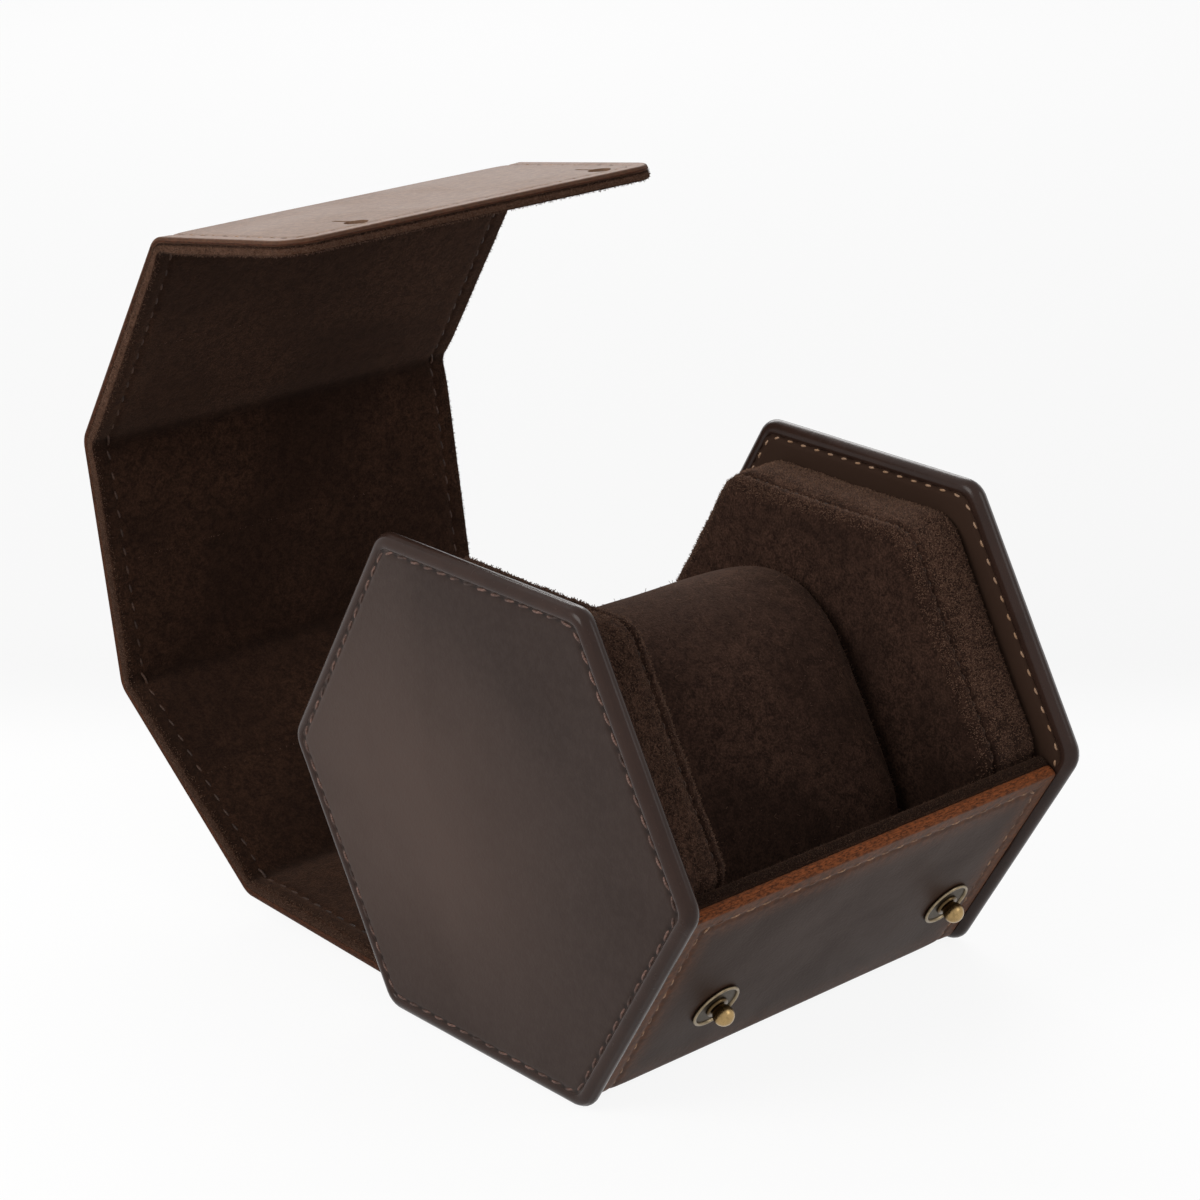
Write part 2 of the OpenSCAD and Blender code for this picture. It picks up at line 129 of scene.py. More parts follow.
class CaseColours(bpy.types.PropertyGroup):
    """Colours of the case's materials"""
    plate: shade("Plate leather", "Smooth leather on the end plates", "46362f")
    plate_dark: shade("Plate shade", "Darker patches of the plate leather", "2c1f1a")
    rim: shade("Rim", "Rounded rim of a plate", "35251f")
    strip: shade("Strip leather", "Oiled leather of the strip", "37251b")
    strip_dark: shade("Strip shade", "Darker patches of the strip leather", "2a1c15")
    strip_warm: shade("Strip wear", "Leather where it is rubbed and bent", "7a4a2c")
    cut_edge: shade("Cut edge", "Raw cut edge of the front", "8f4f2c")
    edge_burnt: shade("Rubbed edge", "Burnished cut edge of the lid", "4f2f21")
    # Painted highlight: pale tan painted on the flap's outside, where light glances off it.
    handled: shade("Handled leather", "Leather of the flap, paler where it is held", "8a6c58")
    suede: shade("Suede", "Raised side of the suede", "4d372d")
    suede_dark: shade("Suede shade", "Brushed down side of the suede", "1f1410")
    lining: shade("Lining", "Raised side of the strip's suede lining", "432d21")
    lining_dark: shade("Lining shade", "Brushed down side of the lining", "1d110c")
    fibre: shade("Suede fibre", "Loose fibres at the suede's edges", "5f4639")
    # Painted light: a paler copy of the fibre colour, for the right cushion whose side band
    # catches the light.
    fibre_pale: shade("Pale fibre", "Raised fibres on the cushions' side bands", "7c5e4d")
    thread: shade("Thread", "Waxed thread of the strip", "a07c5e")
    thread_plate: shade("Plate thread", "Thread on the outside of the plates", "785a4f")
    thread_light: shade("Light thread", "Clean thread inside the plates", "a88a74")
    thread_dark: shade("Thread shade", "Soiled parts of the thread", "4e3527")
    brass: shade("Brass", "Bright brass of the studs", "a88c60")
    brass_old: shade("Aged brass", "Aged brass of the washers", "8f8068")
    brass_dark: shade("Dark brass", "Blackened dish inside a washer", "4c443a")
    board: shade("Board", "Grey board inside the leather", "8b7a64")


def sizes():
    return bpy.context.scene.case_sizes


def colours():
    return bpy.context.scene.case_colours


def plate_reach():
    """From the hexagon's middle to its sides, and so to the table."""
    return sizes().plate_side * COS30


def suede_reach():
    """From the hexagon's middle to the suede of the strip round it."""
    return plate_reach() - sizes().pad_margin + STRIP_GAP


# ---- Mesh building ----

def linked(name, data):
    """A new object in the scene."""
    made = bpy.data.objects.new(name, data)
    bpy.context.scene.collection.objects.link(made)
    return made


def read(items, key, width=1):
    """One value, or a vector of width values, of each vertex or attribute item."""
    found = np.zeros(len(items) * width, np.float32)
    items.foreach_get(key, found)
    found = found.astype(float)
    return found.reshape(-1, width) if width > 1 else found


def write(items, key, values):
    items.foreach_set(key, np.asarray(values, np.float32).ravel())


def add_attribute(mesh, title, values):
    kind, key = ("FLOAT_VECTOR", "vector") if np.ndim(values) == 2 else ("FLOAT", "value")
    write(mesh.attributes.new(title, kind, "POINT").data, key, values)


def raised(piece, co, amount):
    """Moves vertices from co along their normals and returns where they are then."""
    co = co + read(piece.data.vertices, "normal", 3) * amount[:, None]
    write(piece.data.vertices, "co", co)
    piece.data.update()
    return co


def settled(piece):
    """Applies a piece's modifiers to its mesh."""
    graph = bpy.context.evaluated_depsgraph_get()
    mesh = bpy.data.meshes.new_from_object(piece.evaluated_get(graph), depsgraph=graph)
    piece.modifiers.clear()
    piece.data = mesh
    return piece


def dress(piece, body, slot, *nodes):
    """Attaches a piece to its body and hides the CAD nodes that it stands for; its slot is not
    used.
    """
    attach(piece, body)
    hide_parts(*nodes)


def make_piece(name, verts, faces, material, attributes=(), recalc=True, sharp=None):
    """A mesh object at the origin, with its place in its mesh, its faces outwards."""
    mesh = bpy.data.meshes.new(name)
    mesh.from_pydata(np.asarray(verts, float).tolist(), [], faces)
    for title, values in dict(attributes).items():
        add_attribute(mesh, title, values)
    if recalc:
        shell = bmesh.new()
        shell.from_mesh(mesh)
        bmesh.ops.recalc_face_normals(shell, faces=shell.faces)
        shell.to_mesh(mesh)
        shell.free()
    mesh.polygons.foreach_set("use_smooth", [True] * len(mesh.polygons))
    if sharp:
        mesh.set_sharp_from_angle(angle=math.radians(sharp))
    mesh.materials.append(material)
    mesh.update()
    return linked(name, mesh)


def ring_faces(rings, count, first=None, last=None, closed=False):
    """Quads between neighbouring rings of count points, with a fan at each named pole."""
    i = np.arange(count)
    j = (i + 1) % count
    faces = []
    for k in range(rings if closed else rings - 1):
        a, b = k * count, (k + 1) % rings * count
        faces += np.stack([a + i, a + j, b + j, b + i], 1).tolist()
    if first is not None:
        faces += [[first, int(b), int(a)] for a, b in zip(i, j)]
    if last is not None:
        end = (rings - 1) * count
        faces += [[last, end + int(a), end + int(b)] for a, b in zip(i, j)]
    return faces


def hexagon(apothem, radius, count, pull=0.0):
    """count points a side of a rounded hexagon as (y, z), evenly spaced along each side."""
    arc = radius * math.pi / 6
    half = (apothem - radius) * TAN30
    l = np.arange(count) / count * (2 * arc + 2 * half)
    start = np.clip(l / max(arc, 1e-9), 0, 1) * math.pi / 6 - math.pi / 6
    finish = np.clip((l - arc - 2 * half) / max(arc, 1e-9), 0, 1) * math.pi / 6
    along = np.clip(l - arc, 0, 2 * half) - half
    angle = start + finish
    out = apothem - radius + radius * np.cos(angle) - pull * (1 - (along / half) ** 2)
    along = along + radius * np.sin(angle)
    points = []
    for k in range(6):
        c, s = math.cos(math.radians(60 * k + 30)), math.sin(math.radians(60 * k + 30))
        points.append(np.stack([out * c - along * s, out * s + along * c], 1))
    points = np.concatenate(points)
    points[:, 1] += plate_reach()
    return points


def bell(x, middle, width):
    return np.exp(-((x - middle) / width) ** 2)


def step(x, a, b):
    t = np.clip((x - a) / (b - a), 0, 1)
    return t * t * (3 - 2 * t)


def ripple(points, scale, seed):
    """Smooth noise between -1 and 1 at each point."""
    offset = Vector((seed * 7.31, seed * 3.17, seed * 5.53))
    return np.array([noise.noise(Vector(p) * scale + offset) for p in points])


def with_x(x, outline):
    """Points of an outline (y, z) at x."""
    return np.column_stack([np.full(len(outline), x), outline])


# ---- Node helpers ----

FLOAT, VECTOR, GEOMETRY = "NodeSocketFloat", "NodeSocketVector", "NodeSocketGeometry"
PAINT = "NodeSocketMaterial"


class Tree:
    """A node tree, with a short method for each kind of node that it uses often."""

    def __init__(self, tree):
        self.tree = tree

    def fill(self, made, inputs):
        """Sets or links a node's inputs, given by name or index."""
        for key, value in inputs.items():
            if isinstance(value, bpy.types.NodeSocket):
                self.tree.links.new(value, made.inputs[key])
            else:
                made.inputs[key].default_value = value
        return made

    def node(self, kind, inputs=(), **settings):
        made = self.tree.nodes.new(kind)
        for name, value in settings.items():
            setattr(made, name, value)
        return self.fill(made, dict(inputs)).outputs

    def maths(self, operation, a, b, clamp=False):
        return self.node("ShaderNodeMath", {0: a, 1: b}, operation=operation,
                         use_clamp=clamp)[0]

    def times(self, a, b, clamp=False):
        return self.maths("MULTIPLY", a, b, clamp)

    def plus(self, a, b, clamp=False):
        return self.maths("ADD", a, b, clamp)

    def larger(self, a, b):
        return self.maths("MAXIMUM", a, b)

    def opposite(self, value):
        return self.maths("SUBTRACT", 1.0, value)

    def line(self, value, slope, start):
        return self.plus(self.times(value, slope), start)

    def mixed(self, factor, *two):
        """Mix of two colours."""
        ends = {6 + i: c if isinstance(c, bpy.types.NodeSocket) else (*c, 1)
                for i, c in enumerate(two)}
        return self.node("ShaderNodeMix", {0: factor, **ends}, data_type="RGBA")[2]

    def ramp(self, value, low, high):
        """Value taken from low..high to 0..1, eased at both ends."""
        return self.node("ShaderNodeMapRange", {0: value, 1: low, 2: high, 3: 0.0, 4: 1.0},
                         interpolation_type="SMOOTHSTEP")[0]

    def fading(self, value, low, high):
        """Value taken from low..high to 1..0."""
        return self.opposite(self.ramp(value, low, high))

    def noise(self, where, scale, detail, **more):
        return self.node("ShaderNodeTexNoise",
                         {"Vector": where, "Scale": scale, "Detail": detail, **more})[0]

    def attribute(self, name, output="Fac"):
        return self.node("ShaderNodeAttribute", attribute_name=name)[output]

    def use(self, shared_tree, **inputs):
        return self.node("ShaderNodeGroup", inputs, node_tree=shared_tree)

    def seen(self):
        """1 for what the camera sees, also in metal and glass, and 0 for other light."""
        path = self.node("ShaderNodeLightPath")
        return self.larger(path["Is Camera Ray"],
                           self.larger(path["Is Glossy Ray"], path["Is Transmission Ray"]))

    def vector(self, x, z):
        return self.node("ShaderNodeCombineXYZ", {0: x, 2: z})[0]

    def strand(self, curve, radius, thickness, sides):
        """A round strand along a curve, thinned by radius."""
        thinned = self.node("GeometryNodeSetCurveRadius", {"Curve": curve, "Radius": radius})
        outline = self.node("GeometryNodeCurvePrimitiveCircle",
                            {"Resolution": sides, "Radius": thickness})
        return self.node("GeometryNodeCurveToMesh", {
            "Curve": thinned[0], "Profile Curve": outline[0], "Fill Caps": True})[0]

    def planted(self, points, strand, rotation, lean, **more):
        """A strand at each point, leaning from the point's own rotation, as real geometry."""
        tilt = self.node("FunctionNodeEulerToRotation", {0: lean})
        spin = self.node("FunctionNodeRotateRotation",
                         {"Rotation": rotation, "Rotate By": tilt[0]}, rotation_space="LOCAL")
        copies = self.node("GeometryNodeInstanceOnPoints", {
            "Points": points, "Instance": strand, "Rotation": spin[0], **more})
        return self.node("GeometryNodeRealizeInstances", {0: copies[0]})[0]


def group(name, kind, inputs, outputs):
    """A new node group, with the sockets that it is given and those that it fills."""
    tree = bpy.data.node_groups.new(name, kind)
    for title, socket, default in inputs:
        made = tree.interface.new_socket(title, in_out="INPUT", socket_type=socket)
        if default is not None:
            made.default_value = default
    for title, socket in outputs:
        tree.interface.new_socket(title, in_out="OUTPUT", socket_type=socket)
    given, result = (tree.nodes.new("NodeGroup" + way) for way in ("Input", "Output"))
    return Tree(tree), given.outputs, result


def shared(build):
    """Builds a node group the first time that it is asked for."""
    def found():
        name = build.__name__
        return bpy.data.node_groups.get(name) or build(name)
    return found


@shared
def leather_grain(name):
    """Leather grain: small pebbles, fine creases and slow mottling."""
    t, given, result = group(
        name, "ShaderNodeTree",
        [("Vector", VECTOR, None), ("Pebbles", FLOAT, 1500.0), ("Mottle", FLOAT, 60.0)],
        [("Height", FLOAT), ("Mottle", FLOAT), ("Speck", FLOAT)])
    where = given["Vector"]
    bend = t.node("ShaderNodeTexNoise", {"Vector": where, "Scale": 900.0, "Detail": 2.0})
    moved = t.node("ShaderNodeMix", {0: 0.0006, 4: where, 5: bend["Color"]}, data_type="VECTOR")
    pebbles = t.node("ShaderNodeTexVoronoi", {"Vector": moved[1], "Scale": given["Pebbles"]},
                     feature="SMOOTH_F1")
    fine = t.noise(where, 5200.0, 3.0)
    slow = t.noise(where, given["Mottle"], 5.0, Roughness=0.6, Distortion=0.4)
    speck = t.noise(where, 700.0, 4.0, Roughness=0.7)
    t.fill(result, {"Height": t.plus(t.times(pebbles["Distance"], 0.55), t.times(fine, 0.45)),
                    "Mottle": t.ramp(slow, 0.33, 0.7), "Speck": t.ramp(speck, 0.35, 0.7)})
    return t.tree


@shared
def suede_nap(name):
    """Suede: fine nap that lies this way and that, with brushed patches."""
    t, given, result = group(
        name, "ShaderNodeTree",
        [("Vector", VECTOR, None), ("Nap", FLOAT, 2600.0), ("Patch", FLOAT, 70.0)],
        [("Height", FLOAT), ("Tone", FLOAT), ("Patch", FLOAT)])
    where = given["Vector"]
    fine = t.noise(where, given["Nap"], 4.0, Roughness=0.72)
    clumps = t.noise(where, 620.0, 3.0, Distortion=0.8)
    patch = t.noise(where, given["Patch"], 4.0, Roughness=0.55, Distortion=0.6)
    tone = t.plus(t.times(t.ramp(fine, 0.42, 0.62), 0.6),
                  t.times(t.ramp(clumps, 0.36, 0.66), 0.4))
    t.fill(result, {"Height": t.plus(t.times(fine, 0.6), t.times(clumps, 0.4)),
                    "Tone": tone, "Patch": t.ramp(patch, 0.34, 0.66)})
    return t.tree


# ---- Materials ----

DARK_SPECK = (0.06, 0.042, 0.035)
# Painted shade in the stitch holes of a plate.
PIT_SHADE_PAINT = (0.008, 0.005, 0.004)
# Painted shade in the lining's fold creases.
CREASE_SHADE_PAINT = (0.005, 0.003, 0.0024)
PATINA = (0.06, 0.045, 0.022)
# Patina in the hollow under a stud's ball, with painted shade on the ball's lower half.
PATINA_AND_BALL_SHADE = (0.035, 0.022, 0.012)
BOARD_FIBRE = (0.2, 0.16, 0.11)
PAINTED_LIGHT_POOL = (0, 0.02, 0.036)     # middle of a pool of light painted on a plate's leather
FRONT_END, BASE_START = 0.04, 0.075     # along the strip, where its cut edge changes
FLAP_HIGHLIGHT_FROM, FLAP_HIGHLIGHT_TO = 0.26, 0.3    # along the strip, where a highlight is painted on the flap


class Finish(Tree):
    """A material with one surface, patterned on the object or on an attribute."""

    def __init__(self, name, attribute=None):
        self.material = bpy.data.materials.new("dressed_" + name)
        self.material.use_nodes = True
        super().__init__(self.material.node_tree)
        self.tree.nodes.clear()
        out = self.tree.nodes.new("ShaderNodeOutputMaterial")
        self.surface = self.tree.nodes.new("ShaderNodeBsdfPrincipled")
        self.fill(out, {"Surface": self.surface.outputs[0]})
        self.where = (self.attribute(attribute, "Vector") if attribute
                      else self.node("ShaderNodeTexCoord")["Object"])

    def bump(self, height, distance, strength):
        return {"Normal": self.node("ShaderNodeBump", {
            "Height": height, "Distance": distance, "Strength": strength})["Normal"]}

    def finished(self, tone, roughness, *more):
        """Fills the surface's sockets and gives back the material."""
        for inputs in ({"Base Color": tone, "Roughness": roughness}, *more):
            self.fill(self.surface, inputs)
        return self.material


def plate_leather_finish(name):
    """Smooth leather with a painted pool of light, darker towards its rim and inside, with painted
    shade in the holes of its stitches.
    """
    m, c = Finish(name), colours()
    grain = m.use(leather_grain(), Vector=m.where, Pebbles=1900.0, Mottle=16.0)
    flat = m.node("ShaderNodeVectorMath", {0: m.where, 1: (0, 1, 1)}, operation="MULTIPLY")
    # Painted light: paler round a spot on the plate, darker away from it, mixed with mottling.
    away = m.node("ShaderNodeVectorMath", {0: flat[0], 1: PAINTED_LIGHT_POOL},
                  operation="DISTANCE")["Value"]
    painted_light_and_mottle = m.plus(m.times(m.ramp(away, 0.008, 0.052), 0.8),
                    m.times(grain["Mottle"], 0.35), True)
    tone = m.mixed(painted_light_and_mottle, c.plate, c.plate_dark)
    tone = m.mixed(m.times(grain["Speck"], 0.2), tone, DARK_SPECK)
    darkened = m.fading(m.attribute("edge"), 0.4, 3.6)
    tone = m.mixed(m.times(darkened, 0.35), tone, c.strip_dark)
    # Painted shade: near-black in the holes of the plate's stitches.
    tone = m.mixed(m.times(m.attribute("painted_pit_shade"), 0.85, True), tone, PIT_SHADE_PAINT)
    inside = m.attribute("inside")
    tone = m.mixed(m.times(inside, 0.9), tone, c.strip)
    rough = m.plus(m.line(grain["Mottle"], 0.1, 0.44), m.times(inside, 0.35))
    return m.finished(tone, rough, m.bump(grain["Height"], 0.00006, 0.55),
                      {"Specular IOR Level": 0.16})


def rim_leather_finish(name):
    """Leather polished by handling."""
    m, c = Finish(name), colours()
    grain = m.use(leather_grain(), Vector=m.where, Pebbles=1300.0, Mottle=130.0)
    tone = m.mixed(m.times(grain["Mottle"], 0.6), c.rim, c.plate_dark)
    return m.finished(tone, m.line(grain["Speck"], 0.08, 0.2),
                      m.bump(grain["Height"], 0.00004, 0.3), {"Specular IOR Level": 0.18})


def strip_leather_finish(name):
    """Oiled leather, rubbed warm at edges and folds, with fibrous cut edges and a highlight
    painted on the flap.
    """
    m, c = Finish(name, "flow"), colours()
    grain = m.use(leather_grain(), Vector=m.where, Pebbles=1500.0, Mottle=42.0)
    edge = m.attribute("edge")
    tone = m.mixed(m.times(grain["Mottle"], 0.6), c.strip, c.strip_dark)
    rubbed = m.fading(edge, 0.3, 9.0)
    bent = m.times(m.fading(m.attribute("fold"), 0.5, 7.0), 0.4)
    wear = m.times(m.larger(rubbed, bent), m.line(grain["Speck"], 0.7, 0.25), True)
    tone = m.mixed(m.times(wear, 0.68), tone, c.strip_warm)
    run = m.node("ShaderNodeSeparateXYZ", {0: m.where})["Y"]
    # Painted highlight on the flap, broken up by specks.
    handled = m.times(m.ramp(run, FLAP_HIGHLIGHT_FROM, FLAP_HIGHLIGHT_TO), m.line(grain["Speck"], 0.3, 0.6))
    tone = m.mixed(handled, tone, c.handled)
    raw = m.mixed(m.ramp(run, FRONT_END, BASE_START), c.cut_edge, c.edge_burnt)
    drawn = m.node("ShaderNodeMapping", {"Vector": m.where, "Scale": (0.26, 0.26, 1.0)})
    streaks = m.noise(drawn[0], 3300.0, 7.0, Roughness=0.8)
    raw = m.mixed(m.times(m.ramp(streaks, 0.4, 0.6), 0.85), raw, c.strip_dark)
    lip = m.times(m.fading(edge, 0.1, 0.75), 0.75)
    cut = m.larger(m.ramp(m.attribute("wall"), 0.3, 0.8), lip)
    tone = m.mixed(cut, tone, raw)
    rough = m.plus(m.line(grain["Mottle"], 0.08, 0.46), m.times(cut, 0.25))
    height = m.plus(grain["Height"], m.times(m.times(streaks, cut), 2.5))
    return m.finished(tone, rough, m.bump(height, 0.00009, 0.6), {"Specular IOR Level": 0.08})


def suede_finish(name, light, dark, brushed, attribute=None):
    """Suede. On the strip it knows its folds, with painted crease shade, and its cut walls; on a
    cushion its side band, painted lighter towards the top.
    """
    m, c = Finish(name, attribute), colours()
    light, dark = getattr(c, light), getattr(c, dark)
    nap = m.use(suede_nap(), Vector=m.where, Nap=2600.0, Patch=brushed)
    tone = m.mixed(nap["Tone"], dark, light)
    tone = m.mixed(m.times(nap["Patch"], 0.6), tone, dark)
    if attribute:
        # Painted shade: darker in the creases at the strip's folds.
        painted_crease_shade = m.fading(m.attribute("fold"), 0.1, 3.0)
        tone = m.mixed(m.times(painted_crease_shade, 0.4), tone, CREASE_SHADE_PAINT)
        run = m.node("ShaderNodeSeparateXYZ", {0: m.where})["Y"]
        pale = m.plus(m.times(m.ramp(run, 0.03, 0.08), 0.3),
                      m.times(m.ramp(run, 0.21, 0.245), 0.7))
        raw = m.mixed(pale, dark, m.mixed(nap["Tone"], light, c.fibre))
        tone = m.mixed(m.ramp(m.attribute("wall"), 0.3, 0.8), tone, raw)
    else:
        # Painted light on a cushion's side band, paler towards its top, with crumbly fibre flecks.
        crumbs_and_painted_light = m.times(m.attribute("band"), m.ramp(nap["Tone"], 0.35, 0.7))
        tone = m.mixed(m.times(crumbs_and_painted_light, 0.38), tone, c.fibre)
    return m.finished(tone, 0.95, m.bump(nap["Height"], 0.00028, 0.8), {
        "Specular IOR Level": 0.04, "Sheen Weight": 0.18, "Sheen Roughness": 0.5,
        "Sheen Tint": (0.5, 0.32, 0.24, 1)})


def fibre_finish(name, dark, light):
    m, c = Finish(name), colours()
    nap = m.use(suede_nap(), Vector=m.where, Nap=900.0, Patch=160.0)
    tone = m.mixed(nap["Tone"], getattr(c, dark), getattr(c, light))
    return m.finished(tone, 0.9, {"Specular IOR Level": 0.08, "Sheen Weight": 0.3,
                                  "Sheen Tint": (0.6, 0.4, 0.28, 1)})


def thread_finish(name, clean, soiled):
    m, c = Finish(name), colours()
    clean, soiled = getattr(c, clean), getattr(c, soiled)
    twist = m.node("ShaderNodeTexWave", {"Vector": m.where, "Scale": 900.0, "Distortion": 1.5,
                                         "Detail": 1.0}, bands_direction="DIAGONAL")["Fac"]
    soil = m.noise(m.where, 240.0, 3.0)
    tone = m.mixed(m.ramp(soil, 0.35, 0.7), clean, soiled)
    tone = m.mixed(m.times(twist, 0.5), tone, soiled)
    return m.finished(tone, m.line(soil, 0.2, 0.45), m.bump(twist, 0.00006, 0.6),
                      {"Specular IOR Level": 0.3})


def brass_finish(name, bright, patina, polish, darkened=False):
    """Stained brass; on a stud, painted shade darkens the ball's lower half and the neck below it,
    with patina in that hollow.
    """
    m = Finish(name)
    stain = m.noise(m.where, 900.0, 5.0, Roughness=0.65)
    tone = m.mixed(m.times(m.ramp(stain, 0.4, 0.72), patina), getattr(colours(), bright),
                   PATINA)
    if darkened:
        # Painted shade, with patina: darker down the ball's lower half and its neck, bright at its
        # top.
        kept = m.fading(m.attribute("height"), 1.4, 3.3)
        tone = m.mixed(m.times(kept, 0.8), tone, PATINA_AND_BALL_SHADE)
    pits = m.noise(m.where, 4200.0, 2.0)
    return m.finished(tone, m.line(stain, 0.25, polish), m.bump(pits, 0.00002, 0.4),
                      {"Metallic": 1.0})


def board_finish(name):
    m = Finish(name)
    fibres = m.noise(m.where, 900.0, 4.0)
    return m.finished(m.mixed(fibres, colours().board, BOARD_FIBRE), 0.9,
                      m.bump(fibres, 0.00005, 0.5))


FINISHES = {
    "plate_leather": (plate_leather_finish,),
    "rim_leather": (rim_leather_finish,),
    "strip_leather": (strip_leather_finish,),
    "strip_suede": (suede_finish, "lining", "lining_dark", 34.0, "flow"),
    "cushion_suede": (suede_finish, "suede", "suede_dark", 48.0),
    "suede_fibre": (fibre_finish, "suede", "fibre"),
    "dark_fibre": (fibre_finish, "lining_dark", "lining"),
    "pale_fibre": (fibre_finish, "fibre", "fibre_pale"),
    "waxed_thread": (thread_finish, "thread", "thread_dark"),
    "plate_thread": (thread_finish, "thread_plate", "plate_dark"),
    "dark_thread": (thread_finish, "thread_dark", "strip_dark"),
    "light_thread": (thread_finish, "thread_light", "thread"),
    "bright_brass": (brass_finish, "brass", 0.4, 0.16, True),
    "aged_brass": (brass_finish, "brass_old", 0.5, 0.24),
    "dark_brass": (brass_finish, "brass_dark", 0.5, 0.4),
    "grey_board": (board_finish,),
}


def material_of(name):
    build, *given = FINISHES[name]
    return bpy.data.materials.get("dressed_" + name) or build(name, *given)


# ---- Stitches and raw fibres ----

@shared
def stitches(name):
    """Stitches along a path whose points carry their outward direction in 'out'."""
    t, give, result = group(
        name, "GeometryNodeTree",
        [("Geometry", GEOMETRY, None), ("Pitch", FLOAT, 0.0033), ("Thread", FLOAT, 0.00027),
         ("Share", FLOAT, 0.74), ("Rise", FLOAT, 0.00042), ("Slant", FLOAT, 0.16),
         ("Material", PAINT, None)], [("Geometry", GEOMETRY)])
    curve = t.node("GeometryNodeMeshToCurve", {"Mesh": give["Geometry"]})
    even = t.node("GeometryNodeResampleCurve", {"Curve": curve[0], "Length": give["Pitch"]},
                  mode="LENGTH")
    marked = t.node("GeometryNodeStoreNamedAttribute",
                    {"Geometry": even[0], "Name": "along",
                     "Value": t.node("GeometryNodeInputTangent")[0]},
                    data_type="FLOAT_VECTOR", domain="POINT")
    line = t.node("GeometryNodeCurveToMesh", {"Curve": marked[0]})
    spots = t.node("GeometryNodeMeshToPoints", {"Mesh": line[0]}, mode="EDGES")
    half = t.times(t.times(give["Pitch"], give["Share"]), 0.5)
    low = t.times(give["Rise"], -0.9)
    arch = t.node("GeometryNodeCurveQuadraticBezier", {
        "Resolution": 6, "Start": t.vector(t.times(half, -1.0), low),
        "Middle": t.vector(0.0, give["Rise"]), "End": t.vector(half, low)})
    share = t.node("GeometryNodeSplineParameter")["Factor"]
    middle = t.maths("ABSOLUTE", t.maths("SUBTRACT", share, 0.5), 0.0)
    taper = t.opposite(t.times(t.maths("POWER", t.times(middle, 2.0), 4.0), 0.45))
    along, out = (t.node("GeometryNodeInputNamedAttribute", {"Name": title},
                         data_type="FLOAT_VECTOR")[0] for title in ("along", "out"))
    face = t.node("FunctionNodeAlignRotationToVector", {"Vector": along}, axis="X")
    face = t.node("FunctionNodeAlignRotationToVector", {"Rotation": face[0], "Vector": out},
                  axis="Z", pivot_axis="X")
    jitter = t.node("FunctionNodeRandomValue", {2: -0.06, 3: 0.06, "Seed": 11},
                    data_type="FLOAT")[1]
    lean = t.node("ShaderNodeCombineXYZ", {2: t.plus(jitter, give["Slant"])})[0]
    real = t.planted(spots[0], t.strand(arch[0], taper, give["Thread"], 7), face[0], lean)
    smooth = t.node("GeometryNodeSetShadeSmooth", {0: real})
    painted = t.node("GeometryNodeSetMaterial",
                     {"Geometry": smooth[0], "Material": give["Material"]})
    t.fill(result, {"Geometry": painted[0]})
    return t.tree


@shared
def raw_nap(name):
    """Loose suede fibres over a surface, thick where its 'shag' attribute is high."""
    t, give, result = group(
        name, "GeometryNodeTree",
        [("Geometry", GEOMETRY, None), ("Density", FLOAT, 6e6), ("Length", FLOAT, 0.0007),
         ("Fibre", FLOAT, 0.00004), ("Curl", FLOAT, 0.8), ("Seed", "NodeSocketInt", 3),
         ("Material", PAINT, None)], [("Geometry", GEOMETRY)])
    shag = t.node("GeometryNodeInputNamedAttribute", {"Name": "shag"}, data_type="FLOAT")
    spots = t.node("GeometryNodeDistributePointsOnFaces", {
        "Mesh": give["Geometry"], "Density": t.times(shag[0], give["Density"]),
        "Seed": give["Seed"]})
    reach = t.times(give["Length"], give["Curl"])
    fibre = t.node("GeometryNodeCurvePrimitiveLine", {
        "Start": t.vector(0.0, t.times(give["Length"], -0.1)),
        "End": t.vector(reach, t.times(give["Length"], 0.75))})
    share = t.node("GeometryNodeSplineParameter")["Factor"]
    strand = t.strand(fibre[0], t.opposite(t.times(share, 0.7)), give["Fibre"], 3)
    lean = t.node("FunctionNodeRandomValue", {0: (-0.7, -0.7, -3.14), 1: (0.7, 0.7, 3.14),
                                              "Seed": 5}, data_type="FLOAT_VECTOR")[0]
    grow = t.node("FunctionNodeRandomValue", {2: 0.45, 3: 1.25, "Seed": 8},
                  data_type="FLOAT")[1]
    real = t.planted(spots["Points"], strand, spots["Rotation"], lean, Scale=grow)
    painted = t.node("GeometryNodeSetMaterial",
                     {"Geometry": real, "Material": give["Material"]})
    t.fill(result, {"Geometry": painted[0]})
    return t.tree


def grown(name, base, tree, values):
    """A plain mesh piece made by a geometry node tree from the mesh base."""
    source = linked(name + "_source", base)
    modifier = source.modifiers.new("nodes", "NODES")
    modifier.node_group = tree
    for item in tree.interface.items_tree:
        if item.in_out == "INPUT" and item.name in values:
            modifier[item.identifier] = values[item.name]
    graph = bpy.context.evaluated_depsgraph_get()
    mesh = bpy.data.meshes.new_from_object(source.evaluated_get(graph), depsgraph=graph)
    mesh.name = name
    mesh.materials.clear()
    mesh.materials.append(values["Material"])
    mesh.polygons.foreach_set("material_index", [0] * len(mesh.polygons))
    bpy.data.objects.remove(source)
    if not len(mesh.polygons):
        raise RuntimeError(f"{name} came out empty")
    return linked(name, mesh)


